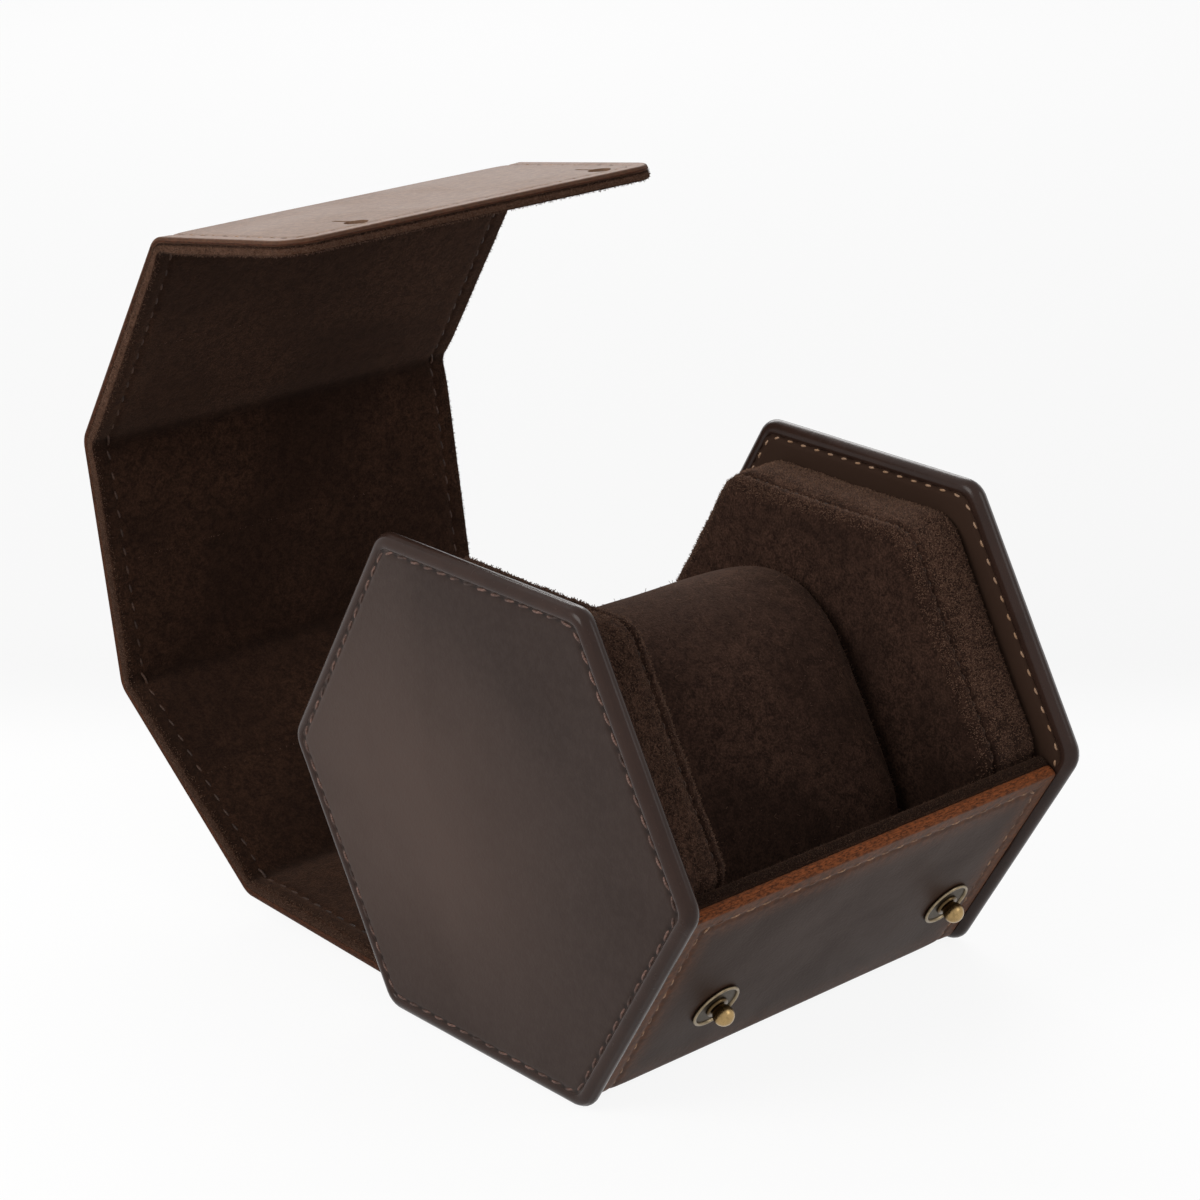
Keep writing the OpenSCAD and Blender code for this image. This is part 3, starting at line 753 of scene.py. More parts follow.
def sewn(name, lines, finish, **values):
    """Stitches along each line, given as (points, outward directions, closed)."""
    verts, edges, outs = [], [], []
    for points, out, closed in lines:
        start, last = len(verts), len(verts) + len(points) - 1
        verts += points.tolist()
        outs += out.tolist()
        edges += [(i, i + 1) for i in range(start, last)]
        if closed:
            edges.append((last, start))
    mesh = bpy.data.meshes.new(name + "_path")
    mesh.from_pydata(verts, edges, [])
    add_attribute(mesh, "out", outs)
    s = sizes()
    return grown(name, mesh, stitches(), {
        "Pitch": s.stitch_pitch, "Thread": s.thread_r, "Share": 0.74, "Rise": 0.42 * MM,
        "Slant": 0.16, "Material": material_of(finish), **values})


def napped(name, piece, shag, density, length, seed, finish, curl=0.8, fibre=0.04 * MM):
    """Loose fibres over a copy of a piece's mesh."""
    base = piece.data.copy()
    add_attribute(base, "shag", shag)
    return grown(name, base, raw_nap(), {
        "Density": density, "Length": length, "Fibre": fibre, "Curl": curl, "Seed": seed,
        "Material": material_of(finish)})


# ---- End plates ----

STITCHES_A_SIDE = 14
POINTS_A_STITCH = 4
PLATE_POINTS = STITCHES_A_SIDE * POINTS_A_STITCH
PLATE_SEAM = 2.8            # mm from the plate's edge
PLATE_MIDDLE = 42           # mm from the plate's edge, for the wear at its middle
PLATE_INSETS = [41.3, 38, 34, 30, 26, 22, 18, 14, 11, 8.5, 6.8, 5.6, 4.8, 4.2, 3.7, 3.35, 3.05,
                2.8, 2.55, 2.3, 2.05, 1.8]
SKIN_DEPTH = 0.1            # mm that the leather lies below the plate's faces
SEAM_CORNER = 1.7 * MM
# Each seam's thread in a plate: its depth, the way it faces, its finish and its share.
PLATE_SEAMS = (("seam", 0.24 * MM, 1, "plate_thread", 0.76),
               ("back_seam", 0.28 * MM, -1, "light_thread", 0.44))
ROUND_PITCH = 1.0005        # a hair long, so that no stitch doubles where a seam closes
RIM_RADIUS = 1.75
RIM_CREASE, CREASE_AT, CREASE_WIDTH = 0.09, 118, 9      # mm deep, at degrees round the rim
RIM_LEDGE = [(2.5, 0.5), (2.45, 0.22), (2.2, 0.09), (1.95, 0.02)]


def rim_section():
    """Outline of the rim as (inset, depth) in mm."""
    turned = []
    for a in range(0, 181, 9):
        r = RIM_RADIUS - RIM_CREASE * math.exp(-((a - CREASE_AT) / CREASE_WIDTH) ** 2)
        turned.append((RIM_RADIUS - r * math.sin(math.radians(a)),
                       RIM_RADIUS + r * -math.cos(math.radians(a))))
    return RIM_LEDGE + turned + [(1.95, 3.48), (2.2, 3.41), (2.45, 3.28), (2.5, 3.0)]


def plate_leather(side, name):
    """The smooth leather of one end plate, dipped along its seam and under its rim."""
    s = sizes()
    reach = plate_reach()
    phase = (np.arange(6 * PLATE_POINTS) % POINTS_A_STITCH == 0).astype(float)
    rings, edge, pits = [], [], []
    for outer, insets in ((True, PLATE_INSETS), (False, PLATE_INSETS[::-1])):
        for inset in insets:
            apothem = reach - inset * MM
            corner = min(max(s.plate_corner - inset * MM, LEAST_CORNER), apothem * 0.5)
            outline = hexagon(apothem, corner, PLATE_POINTS)
            depth = 0.2 * bell(inset, PLATE_SEAM, 0.42) + 0.22 * step(inset, 2.3, 1.8) + \
                0.16 * bell(inset, PLATE_SEAM, 0.4) * phase
            if outer:
                wave = ripple(np.pad(outline, ((0, 0), (0, 1))), 55, 1)
                depth = depth + 0.05 * wave * step(inset, PLATE_SEAM, 8)
            x = s.plate_t / MM - SKIN_DEPTH - depth if outer else SKIN_DEPTH + depth
            rings.append(np.column_stack([s.case_w / 2 + x * MM, outline]))
            edge.append(np.full(len(outline), inset))
            # Where shade is painted into the stitch holes.
            pits.append(phase * bell(inset, PLATE_SEAM, 0.34))
    verts = np.concatenate(rings + [[[s.case_w / 2 + s.plate_t - SKIN_DEPTH * MM, 0, reach],
                                     [s.case_w / 2 + SKIN_DEPTH * MM, 0, reach]]])
    verts[:, 0] *= side
    total, half = len(verts), len(PLATE_INSETS) * 6 * PLATE_POINTS
    return make_piece(
        f"{name}_plate_skin", verts,
        ring_faces(len(rings), 6 * PLATE_POINTS, total - 2, total - 1),
        material_of("plate_leather"),
        {"edge": np.concatenate(edge + [[PLATE_MIDDLE] * 2]),
         "painted_pit_shade": np.concatenate(pits + [[0, 0]]),
         "inside": np.concatenate([np.zeros(half), np.ones(half), [0, 1]])})


def plate_rim(side, name):
    """The full-round rim that binds a plate, with the fine crease of its folded edge."""
    s = sizes()
    reach = plate_reach()
    rings = []
    for inset, depth in rim_section():
        outline = hexagon(reach - inset * MM, s.plate_corner - inset * MM, PLATE_POINTS)
        swell = 0.03 * ripple(np.pad(outline, ((0, 0), (0, 1))), 160, 4) * step(inset, 2.6, 1.2)
        outline = outline + (outline - [0, reach]) * (swell * MM / reach)[:, None]
        rings.append(with_x(s.case_w / 2 + depth * MM * s.plate_t / (2 * RIM_RADIUS * MM),
                            outline))
    verts = np.concatenate(rings)
    verts[:, 0] *= side
    return make_piece(f"{name}_plate_bead", verts,
                      ring_faces(len(rings), 6 * PLATE_POINTS, closed=True),
                      material_of("rim_leather"))


def plate_seams(side, name):
    s = sizes()
    outline = hexagon(plate_reach() - s.seam_inset, SEAM_CORNER, PLATE_POINTS)
    around = np.linalg.norm(outline - np.roll(outline, 1, 0), axis=1).sum()
    for title, depth, out, finish, share in PLATE_SEAMS:
        x = s.plate_t - depth if out > 0 else depth
        points = with_x(side * (s.case_w / 2 + x), outline)
        line = (points, np.tile([side * out, 0, 0], (len(points), 1)), True)
        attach(sewn(f"{name}_plate_{title}", [line], finish, Share=share,
                     Pitch=around / (6 * STITCHES_A_SIDE) * ROUND_PITCH), "case")


class CASE_OT_end_plates(bpy.types.Operator):
    """Leather skin, rounded rim and saddle-stitched seam of both end plates"""
    bl_idname = "case.end_plates"
    bl_label = "End plates"

    def execute(self, context):
        for side, name in SIDES:
            dress(plate_leather(side, name), "case", "plate_leather",
                  f"{name}_plate_facing", f"{name}_plate_lining")
            dress(plate_rim(side, name), "case", "rim_leather", f"{name}_plate_rim")
            plate_seams(side, name)
        return {"FINISHED"}


# ---- End cushions and loose pillow ----

CLOTH_SCALE = 10.0
CLOTH_FRAMES = 20
CLOTH_SETTINGS = {"quality": 6, "mass": 0.25, "tension_stiffness": 12,
                  "compression_stiffness": 12, "bending_stiffness": 0.8, "use_pressure": True,
                  "uniform_pressure_force": 4.0}


def inflate(piece, pinned, cap):
    """Swells a sewn form under pressure, held at its seams, and keeps the result."""
    rest = read(piece.data.vertices, "co", 3)
    write(piece.data.vertices, "co", rest * CLOTH_SCALE)
    seams = piece.vertex_groups.new(name="sewn")
    seams.add([int(i) for i in pinned], 1.0, "REPLACE")
    cloth = piece.modifiers.new("swell", "CLOTH")
    for key, value in CLOTH_SETTINGS.items():
        setattr(cloth.settings, key, value)
    cloth.settings.vertex_group_mass = seams.name
    cloth.settings.effector_weights.gravity = 0
    cloth.point_cache.frame_start, cloth.point_cache.frame_end = 1, CLOTH_FRAMES
    for number in range(1, CLOTH_FRAMES + 1):
        bpy.context.scene.frame_set(number)
    graph = bpy.context.evaluated_depsgraph_get()
    moved = read(piece.evaluated_get(graph).data.vertices, "co", 3) / CLOTH_SCALE
    piece.modifiers.remove(cloth)
    piece.vertex_groups.remove(seams)
    bpy.context.scene.frame_set(1)
    shift = moved - rest
    length = np.linalg.norm(shift, axis=1)
    shift *= (np.minimum(length, cap) / np.maximum(length, 1e-9))[:, None]
    write(piece.data.vertices, "co", rest + shift)
    piece.data.update()


def subdivided(piece, levels):
    smooth = piece.modifiers.new("smooth", "SUBSURF")
    smooth.levels = smooth.render_levels = levels
    return settled(piece)


# Each ring of a cushion: its share of the thickness from the plate, and its inset in mm.
PAD_RINGS = [
    (0, 0.5), (0.05, 0.28), (0.12, 0.12), (0.2, 0.04), (0.29, 0), (0.38, 0), (0.47, 0), (0.56, 0),
    (0.64, 0.03), (0.7, 0.08), (0.74, 0.15), (0.766, 0.3), (0.788, 1.15), (0.81, 0.32),
    (0.83, 0.16), (0.855, 0.12), (0.88, 0.2), (0.904, 0.4), (0.925, 0.75), (0.943, 1.25),
    (0.956, 1.9), (0.965, 2.8), (0.972, 4), (0.977, 5.6), (0.981, 7.6), (0.985, 10.5),
    (0.988, 14.5), (0.991, 19), (0.993, 24), (0.994, 29), (0.995, 33.5)]
PAD_SEAM_RING = 12
PAD_FACE = 0.995
PAD_PULL = 0.3 * MM         # how far a cushion's sides are drawn in at their middles
PAD_CORNER = 6 * MM
PAD_POINTS = 26
PAD_CAP, PILLOW_CAP = 0.4 * MM, 0.9 * MM        # how far the pressure may move them
PAD_SEAM_INSET, PAD_SEAM_CORNER, PAD_SEAM_POINTS = 0.8 * MM, 5.6 * MM, 40


def pad_cushion(side, name):
    """One end cushion: a side band sewn to a crowned face, glued to its plate."""
    s = sizes()
    reach = plate_reach()
    rings = []
    for share, inset in PAD_RINGS:
        apothem = reach - s.pad_margin - inset * MM
        corner = min(max(PAD_CORNER - inset * MM / 2, LEAST_CORNER), apothem * 0.5)
        outline = hexagon(apothem, corner, PAD_POINTS, PAD_PULL if inset < 12 else 0.0)
        rings.append(with_x(s.case_w / 2 - share * s.pad_t, outline))
    verts = np.concatenate(rings + [[[s.case_w / 2 - PAD_FACE * s.pad_t, 0, reach],
                                     [s.case_w / 2, 0, reach]]])
    verts[:, 0] *= side
    around, total = 6 * PAD_POINTS, len(verts)
    piece = make_piece(f"{name}_cushion", verts,
                       ring_faces(len(rings), around, total - 1, total - 2),
                       material_of("cushion_suede"))
    index = np.arange(total) // around
    held = (index < 2) | (index == PAD_SEAM_RING)
    held[-1] = True
    inflate(piece, np.flatnonzero(held), PAD_CAP)
    co = read(piece.data.vertices, "co", 3)
    wave = ripple(co, 160, 6) * 0.16 + ripple(co, 420, 9) * 0.06
    raised(piece, co, wave * ~held * MM)
    return subdivided(piece, 2)


# What differs between the cushion seen from its face and the one seen from its side.
CUSHION_NAPS = {
    # The right cushion's fibres take the paler, painted-light fibre finish.
    "right": dict(clump=0.05, reach=0.36, curl=0.9, fibre=0.05 * MM, finish="pale_fibre"),
    "left": dict(clump=0.13, reach=0.4, curl=1.1, fibre=0.06 * MM, finish="suede_fibre")}


class CASE_OT_end_cushions(bpy.types.Operator):
    """Suede cushions on the inside of both end plates, with their seams and raw nap"""
    bl_idname = "case.end_cushions"
    bl_label = "End cushions"

    def execute(self, context):
        s = sizes()
        reach = plate_reach()
        for side, name in SIDES:
            nap = dict(CUSHION_NAPS[name])
            piece = pad_cushion(side, name)
            co = read(piece.data.vertices, "co", 3)
            depth = (s.case_w / 2 - side * co[:, 0]) / s.pad_t
            band = step(depth, 0.02, 0.12) * (1 - step(depth, 0.95, 0.985))
            at_seam = bell(depth, 1 - s.pad_seam / s.pad_t, 0.05)
            clumps = ripple(co, 750, 21) + 0.5 * ripple(co, 1500, 22)
            co = raised(piece, co, clumps * band * (1 - at_seam) * nap.pop("clump") * MM)
            # The band attribute below carries painted light: the side band is painted paler
            # towards its top. The same mask thickens the fibres there.
            top = 0.25 + 0.75 * step(co[:, 2] - reach, -10 * MM, 12 * MM)
            top = top * (1 - 0.9 * at_seam)
            add_attribute(piece.data, "band", band * top * (1 - step(depth, 0.72, 0.82)))
            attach(napped(f"{name}_cushion_nap", piece, band * top, FIBRES["cushion"],
                           s.nap_length * nap.pop("reach"), 4 + side, **nap), "case")
            dress(piece, "case", "suede", f"{name}_pad_cover", f"{name}_pad_foam")
            outline = hexagon(reach - s.pad_margin - PAD_SEAM_INSET, PAD_SEAM_CORNER,
                              PAD_SEAM_POINTS, PAD_PULL)
            out = with_x(0, outline - [0, reach])
            line = (with_x(side * (s.case_w / 2 - s.pad_t + s.pad_seam), outline),
                    out / np.linalg.norm(out, axis=1)[:, None], True)
            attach(sewn(f"{name}_cushion_seam", [line], "dark_thread", **CUSHION_STITCH),
                    "case")
        return {"FINISHED"}


PILLOW_THICK, PILLOW_HIGH = 43 * MM, 66 * MM
PILLOW_BACK = 2.5 * MM      # how far it leans behind the case's middle
PILLOW_GAP = 0.3 * MM       # room above the base's suede
PILLOW_SEAM = 3.8           # mm of inset of the seam's ring
PILLOW_POINTS = 96
PILLOW_NAP = 0.55 * MM
# Each ring of a half pillow: its share of the half length, and its inset in mm.
PILLOW_RINGS = [(0, 0.5), (0.12, 0.5), (0.24, 0.52), (0.36, 0.56), (0.47, 0.62), (0.57, 0.7),
                (0.66, 0.82), (0.74, 0.98), (0.81, 1.2), (0.865, 1.5), (0.905, 1.9),
                (0.93, 2.35), (0.945, 2.8), (0.952, 3.3), (0.94, PILLOW_SEAM), (0.958, 4.3),
                (0.966, 5), (0.972, 6), (0.977, 7.5), (0.982, 9.5), (0.985, 12), (0.987, 15),
                (0.988, 18)]


def pillow_outline(inset):
    """Stadium in (y, z), tilted back by 30 degrees."""
    r = PILLOW_THICK / 2
    middle = np.array([PILLOW_BACK * COS30, plate_reach() - PILLOW_BACK * 0.5])
    low = (suede_reach() - PILLOW_GAP - PILLOW_BACK * 0.5 - r) / COS30
    up = PILLOW_HIGH - PILLOW_THICK - low
    lean = np.array([0.5, COS30])
    half, total = math.pi * r, 2 * math.pi * r + 2 * (low + up)
    points = []
    for l in np.arange(PILLOW_POINTS) / PILLOW_POINTS * total:
        if l < half:
            a, base = l / r - math.pi / 6, middle + up * lean
        elif l < half + low + up:
            a, base = math.pi * 5 / 6, middle + (up - (l - half)) * lean
        elif l < 2 * half + low + up:
            a, base = math.pi * 5 / 6 + (l - half - low - up) / r, middle - low * lean
        else:
            a, base = -math.pi / 6, middle + (l - 2 * half - low - up - low) * lean
        points.append(base + (r - inset * MM) * np.array([math.cos(a), math.sin(a)]))
    return np.array(points)


class CASE_OT_watch_pillow(bpy.types.Operator):
    """The loose suede pillow between the two cushions"""
    bl_idname = "case.watch_pillow"
    bl_label = "Watch pillow"

    def execute(self, context):
        half = PILLOW_BOX[1].x
        rings = [(-x, inset) for x, inset in reversed(PILLOW_RINGS[1:])] + PILLOW_RINGS
        layers = [with_x(half * x, pillow_outline(inset)) for x, inset in rings]
        ends = [[end[0, 0], *end[:, 1:].mean(0)] for end in (layers[0], layers[-1])]
        verts = np.concatenate(layers + [ends])
        total = len(verts)
        piece = make_piece("watch_pillow_cushion", verts,
                           ring_faces(len(rings), PILLOW_POINTS, total - 2, total - 1),
                           material_of("cushion_suede"))
        seams = [k for k, (x, inset) in enumerate(rings) if inset == PILLOW_SEAM]
        held = np.isin(np.arange(total) // PILLOW_POINTS, seams)
        inflate(piece, np.flatnonzero(held), PILLOW_CAP)
        co = read(piece.data.vertices, "co", 3)
        wave = ripple(co, 90, 12) * 0.22 + ripple(co, 330, 15) * 0.07
        raised(piece, co, wave * ~held * MM)
        piece = subdivided(piece, 1)
        lines = []
        for side in (-1, 1):
            outline = pillow_outline(PILLOW_SEAM)
            outward = with_x(side * 0.0016, (outline - pillow_outline(6.8)) * 0.35)
            lines.append((with_x(side * half * 0.945, outline), outward, True))
        seam = sewn("watch_pillow_seam", lines, "dark_thread", **PILLOW_STITCH)
        co = read(piece.data.vertices, "co", 3)
        near = bell(np.abs(co[:, 0]), half * 0.94, 2.2 * MM)
        nap = napped("watch_pillow_nap", piece, 0.12 + near, FIBRES["pillow"], PILLOW_NAP, 9,
                     "suede_fibre")
        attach(nap, "pillow")
        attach(seam, "pillow")
        dress(piece, "pillow", "suede", "pillow_cover", "pillow_core")
        return {"FINISHED"}


# ---- Leather strip ----

FOLDS = (2, 36.5, 42, 41, 49)
LID_BULGE = math.radians(4)
NEAR_FOLD = [0.6, 1.2, 1.9, 2.7, 3.6, 4.7, 6.0, 7.6, 9.6, 12.2, 15.5]
FROM_EDGE = [0.05, 0.13, 0.25, 0.4, 0.6, 0.9, 1.25, 1.6, 2.0, 2.35, 2.7, 3.0, 3.3, 3.6, 4.0,
             4.6, 5.5, 6.8, 8.5, 11, 14]
CROSS_EDGE = FROM_EDGE + [17.5, 21.5, 25.5, 29.5, 33.5, 37.5]
WIDEST_ROW = 3.5            # mm between rows far from folds and ends
# Each span: its pieces' name, the body or the two bodies that it lies on and the panels that it
# stands for.
SPANS = (("front_wrap", ("case",), ("front", "base")),
         ("rear_fold", ("case", "lid_rear"), ("lid_rear",)),
         ("back_fold", ("lid_rear", "lid_back"), ("lid_back",)),
         ("top_fold", ("lid_back", "lid_top"), ("lid_top",)),
         ("front_fold", ("lid_top", "lid_front"), ("lid_front",)),
         ("flap_fold", ("lid_front", "flap"), ("flap",)))
BEND_POINTS = 9
OUTER_RADII = [0, 4, 6, 6, 6, 4.5, 4.5, 4.5, 4.5]
INNER_RADII = [0, 1.2, 3, 3, 3, 3.5, 3.5, 3.5, 3]
LEATHER_SHARES = [0.5, 0.5, 0.54, 0.5, 0.44, 0.38, 0.36, 0.36, 0.38, 0.42]
CUT_SIDES = (2, 4, 5, 6, 7)     # sides of the strip's line whose middles part two spans
BASE_SLOPES = (2, 3)            # corners that are the base's slopes and no folds
START_CORNER = 1.2 * MM
FLAP_PAST_STUDS = 6 * MM
BASE_INNER_SLOPE = 2.8 * MM
REAR_FOLD_ROOM, REAR_FOLD_DIP = 3.4 * MM, 0.28 * MM     # of the suede before the rear fold
HALF_FOLD_LENGTH = 5 * MM   # over which the strip narrows at the rear fold
FLAP_GAP = 0.3 * MM         # room between the closed flap and the front
WALL_PARTS = (0.25, 0.5, 0.75)
WALL_PUFF = 0.13            # mm that a cut wall bulges
LEATHER_EDGE, SUEDE_EDGE, JOINT_EDGE = 0.55, 0.22, 0.3      # mm radius of rounded edges
LEAST_LAYER, LAYER_GAP = 0.4, 0.03      # mm of a layer, and between the two
THREAD_SINKS = {"leather": 0.05, "suede": 0.1}      # mm of a thread below the surface
START_SEAM_SHARE, START_SEAM_CORNER = 0.86, 0.9 * MM
CROSS_POINTS = 90


def heading(angle):
    return np.array([math.cos(angle), math.sin(angle)])


def left_of(d):
    return np.array([-d[1], d[0]])


def unit(v):
    return v / np.linalg.norm(v)


def arc_points(before, at, after, radius):
    """Points of the fillet at a corner, from one tangent point to the other."""
    d1, d2 = unit(at - before), unit(after - at)
    angle = math.atan2(d1[0] * d2[1] - d1[1] * d2[0], d1 @ d2)
    if abs(angle) < 0.002:
        return np.array([at + (d1 if t < 0 else d2) * t * 0.3 * MM
                         for t in np.linspace(-1, 1, BEND_POINTS)])
    start = at - d1 * (radius * math.tan(abs(angle) / 2))
    centre = start + left_of(d1) * math.copysign(1, angle) * radius
    out = start - centre
    points = []
    for t in np.linspace(0, 1, BEND_POINTS):
        c, s = math.cos(angle * t), math.sin(angle * t)
        points.append(centre + np.array([out[0] * c - out[1] * s, out[0] * s + out[1] * c]))
    return np.array(points)


def side_end(a, b):
    """From a side's middle to its corner, for sides a and b from the hexagon's middle."""
    return (b - a / 2) / COS30


def fold_points(fixed, lid):
    """The lid's five fold lines and its free edge as (y, z), with their headings."""
    s = sizes()
    closed = fixed + FLAP_GAP + s.flap_t
    long = closed / (COS30 * math.cos(LID_BULGE) + 0.5 * math.sin(LID_BULGE))
    fold_s = lid / COS30 - long * (0.5 * math.cos(LID_BULGE) - COS30 * math.sin(LID_BULGE))
    lengths = [side_end(lid, fixed) + side_end(lid, lid), 2 * side_end(lid, lid),
               2 * side_end(lid, lid), long, fold_s + s.stud_drop + FLAP_PAST_STUDS]
    points, headings = [np.array([side_end(fixed, lid), plate_reach() - fixed])], [0.0]
    for length, angle in zip(lengths, np.radians(np.cumsum(FOLDS))):
        headings.append(angle)
        points.append(points[-1] + length * heading(angle))
    return points, headings, fold_s


def strip_lines(folds, headings, fixed):
    """Corner points of the strip's outer and inner surface."""
    s = sizes()
    reach, inner = plate_reach(), suede_reach()
    corner, top = -side_end(fixed, fixed), side_end(fixed, fixed) - s.front_drop
    start = np.array([-fixed * COS30 - top / 2, reach - fixed / 2 + top * COS30])
    low, level = reach - fixed, reach - inner
    outer = [start, np.array([corner, low]), np.array([corner + s.base_slope, 0]),
             np.array([folds[0][0] - s.base_slope, 0])] + folds
    inward = [start + s.fixed_t * np.array([COS30, 0.5]),
              np.array([-inner * TAN30, level]),
              np.array([-inner * TAN30 + BASE_INNER_SLOPE, level]),
              np.array([folds[0][0] - REAR_FOLD_ROOM, level - REAR_FOLD_DIP]),
              folds[0] + np.array([0, (s.fixed_t + s.lid_t) / 2])]
    depth = [s.lid_t, s.lid_t, s.lid_t, (s.lid_t + s.flap_t) / 2]
    for k, thick in enumerate(depth, 1):
        half = (headings[k + 1] - headings[k]) / 2
        way = left_of(heading(headings[k] + half))
        inward.append(folds[k] + way * thick / math.cos(half))
    inward.append(folds[5] + left_of(heading(headings[5])) * s.flap_t)
    return outer, inward, top


def row_distances(length, near_start, near_end):
    """Rows along a side: close near its ends, even between, with one at its middle."""
    half = length / 2
    first, last = ([v for v in near if v < half - 1] for near in (near_start, near_end))

    def fill(rows):
        edge = rows[-1] if rows else 0
        parts = max(1, round((half - edge) / WIDEST_ROW))
        return [edge + (half - edge) * i / parts for i in range(1, parts)]

    return first + fill(first) + [half] + [length - v for v in reversed(last + fill(last))]


def strip_stations():
    """The strip's surfaces at stations along it, with what its sheets need there."""
    s = sizes()
    fixed, lid = suede_reach() + s.fixed_t, suede_reach() + s.lid_t
    folds, headings, fold_s = fold_points(fixed, lid)
    *lines, top = strip_lines(folds, headings, fixed)
    bends = [[arc_points(line[j - 1], line[j], line[j + 1], radii[j] * MM)
              for line, radii in zip(lines, (OUTER_RADII, INNER_RADII))] for j in range(1, 9)]
    bends = [[[line[0]] for line in lines], *bends, [[line[9]] for line in lines]]
    out, inn, share, cuts, marks = [], [], [], [], []
    for j in range(9):
        a, b = [line[-1] for line in bends[j]], [line[0] for line in bends[j + 1]]
        length = np.linalg.norm(b[0] - a[0]) / MM
        rows = row_distances(length, NEAR_FOLD if j else FROM_EDGE,
                             NEAR_FOLD if j < 8 else FROM_EDGE)
        for l in [0.0] * (j == 0) + rows + [length] * (j == 8):
            f = l / length
            if l == length / 2 and j in CUT_SIDES:
                cuts.append(len(out))
            out.append(a[0] + (b[0] - a[0]) * f)
            inn.append(a[1] + (b[1] - a[1]) * f)
            share.append(LEATHER_SHARES[j] + (LEATHER_SHARES[j + 1] - LEATHER_SHARES[j]) * f)
        if j < 8:
            if j + 1 not in BASE_SLOPES:
                marks.append(len(out) + BEND_POINTS // 2)
            out += list(bends[j + 1][0])
            inn += list(bends[j + 1][1])
            share += [LEATHER_SHARES[j + 1]] * BEND_POINTS
    out, inn = np.array(out), np.array(inn)
    along = np.concatenate([[0], np.cumsum(np.linalg.norm(np.diff(out, axis=0), axis=1))])
    thick = np.linalg.norm(inn - out, axis=1)
    lid_start = along[marks[1]]
    return SimpleNamespace(
        out=out, s=along, thick=thick, in_dir=(inn - out) / thick[:, None],
        share=np.array(share), fold=np.min([np.abs(along - along[m]) for m in marks], axis=0),
        half=s.fixed_half + (s.lid_half - s.fixed_half) * step(
            along, lid_start - HALF_FOLD_LENGTH, lid_start + HALF_FOLD_LENGTH),
        stops=[0] + cuts + [len(out) - 1], folds=folds, headings=headings, fold_s=fold_s,
        studs_from_start=top + s.stud_drop)


def from_ends(s, form):
    """Distance from each end of the strip, with the radius of that end's corners."""
    return (s, START_CORNER), (form.s[-1] - s, sizes().flap_corner)


def edge_distance(x, s, form):
    """Distance in mm from the strip's cut edge, round its corners too."""
    half = np.interp(s, form.s, form.half)
    near = (half - np.abs(x)) / MM
    for q, radius in from_ends(s, form):
        inside = (q < radius) & (np.abs(x) > half - radius)
        at_corner = (radius - np.hypot(np.abs(x) - half + radius, radius - q)) / MM
        near = np.where(inside, at_corner, np.minimum(near, q / MM))
    return np.maximum(near, 0)


def rounding(e, radius):
    e = np.minimum(e, radius)
    return radius - np.sqrt(np.maximum(radius ** 2 - (radius - e) ** 2, 0))


def narrowed(s, form):
    """Half width of the strip at s, drawn in at its rounded end corners."""
    half = np.interp(s, form.s, form.half)
    for q, radius in from_ends(s, form):
        q = np.clip(q, 0, radius)
        half = half - radius + np.sqrt(np.maximum(radius ** 2 - (radius - q) ** 2, 0))
    return half


def outer_dip(e, fold):
    """Depth in mm of the leather's surface, e from its edge and fold from a fold."""
    seam = sizes().strip_seam / MM
    return rounding(e, LEATHER_EDGE) + 0.2 * bell(e, seam, 0.5) + 0.16 * (1 - step(e, 2, 8)) + \
        0.1 * bell(fold, 0, 3) * step(e, 0, 2)


def inner_dip(e, fold):
    """The same for the suede's surface."""
    seam = sizes().strip_seam / MM
    return rounding(e, SUEDE_EDGE) + 0.26 * bell(e, seam, 0.6) + 0.06 * (1 - step(e, 3, 9)) + \
        0.55 * bell(fold, 0, 3.5)


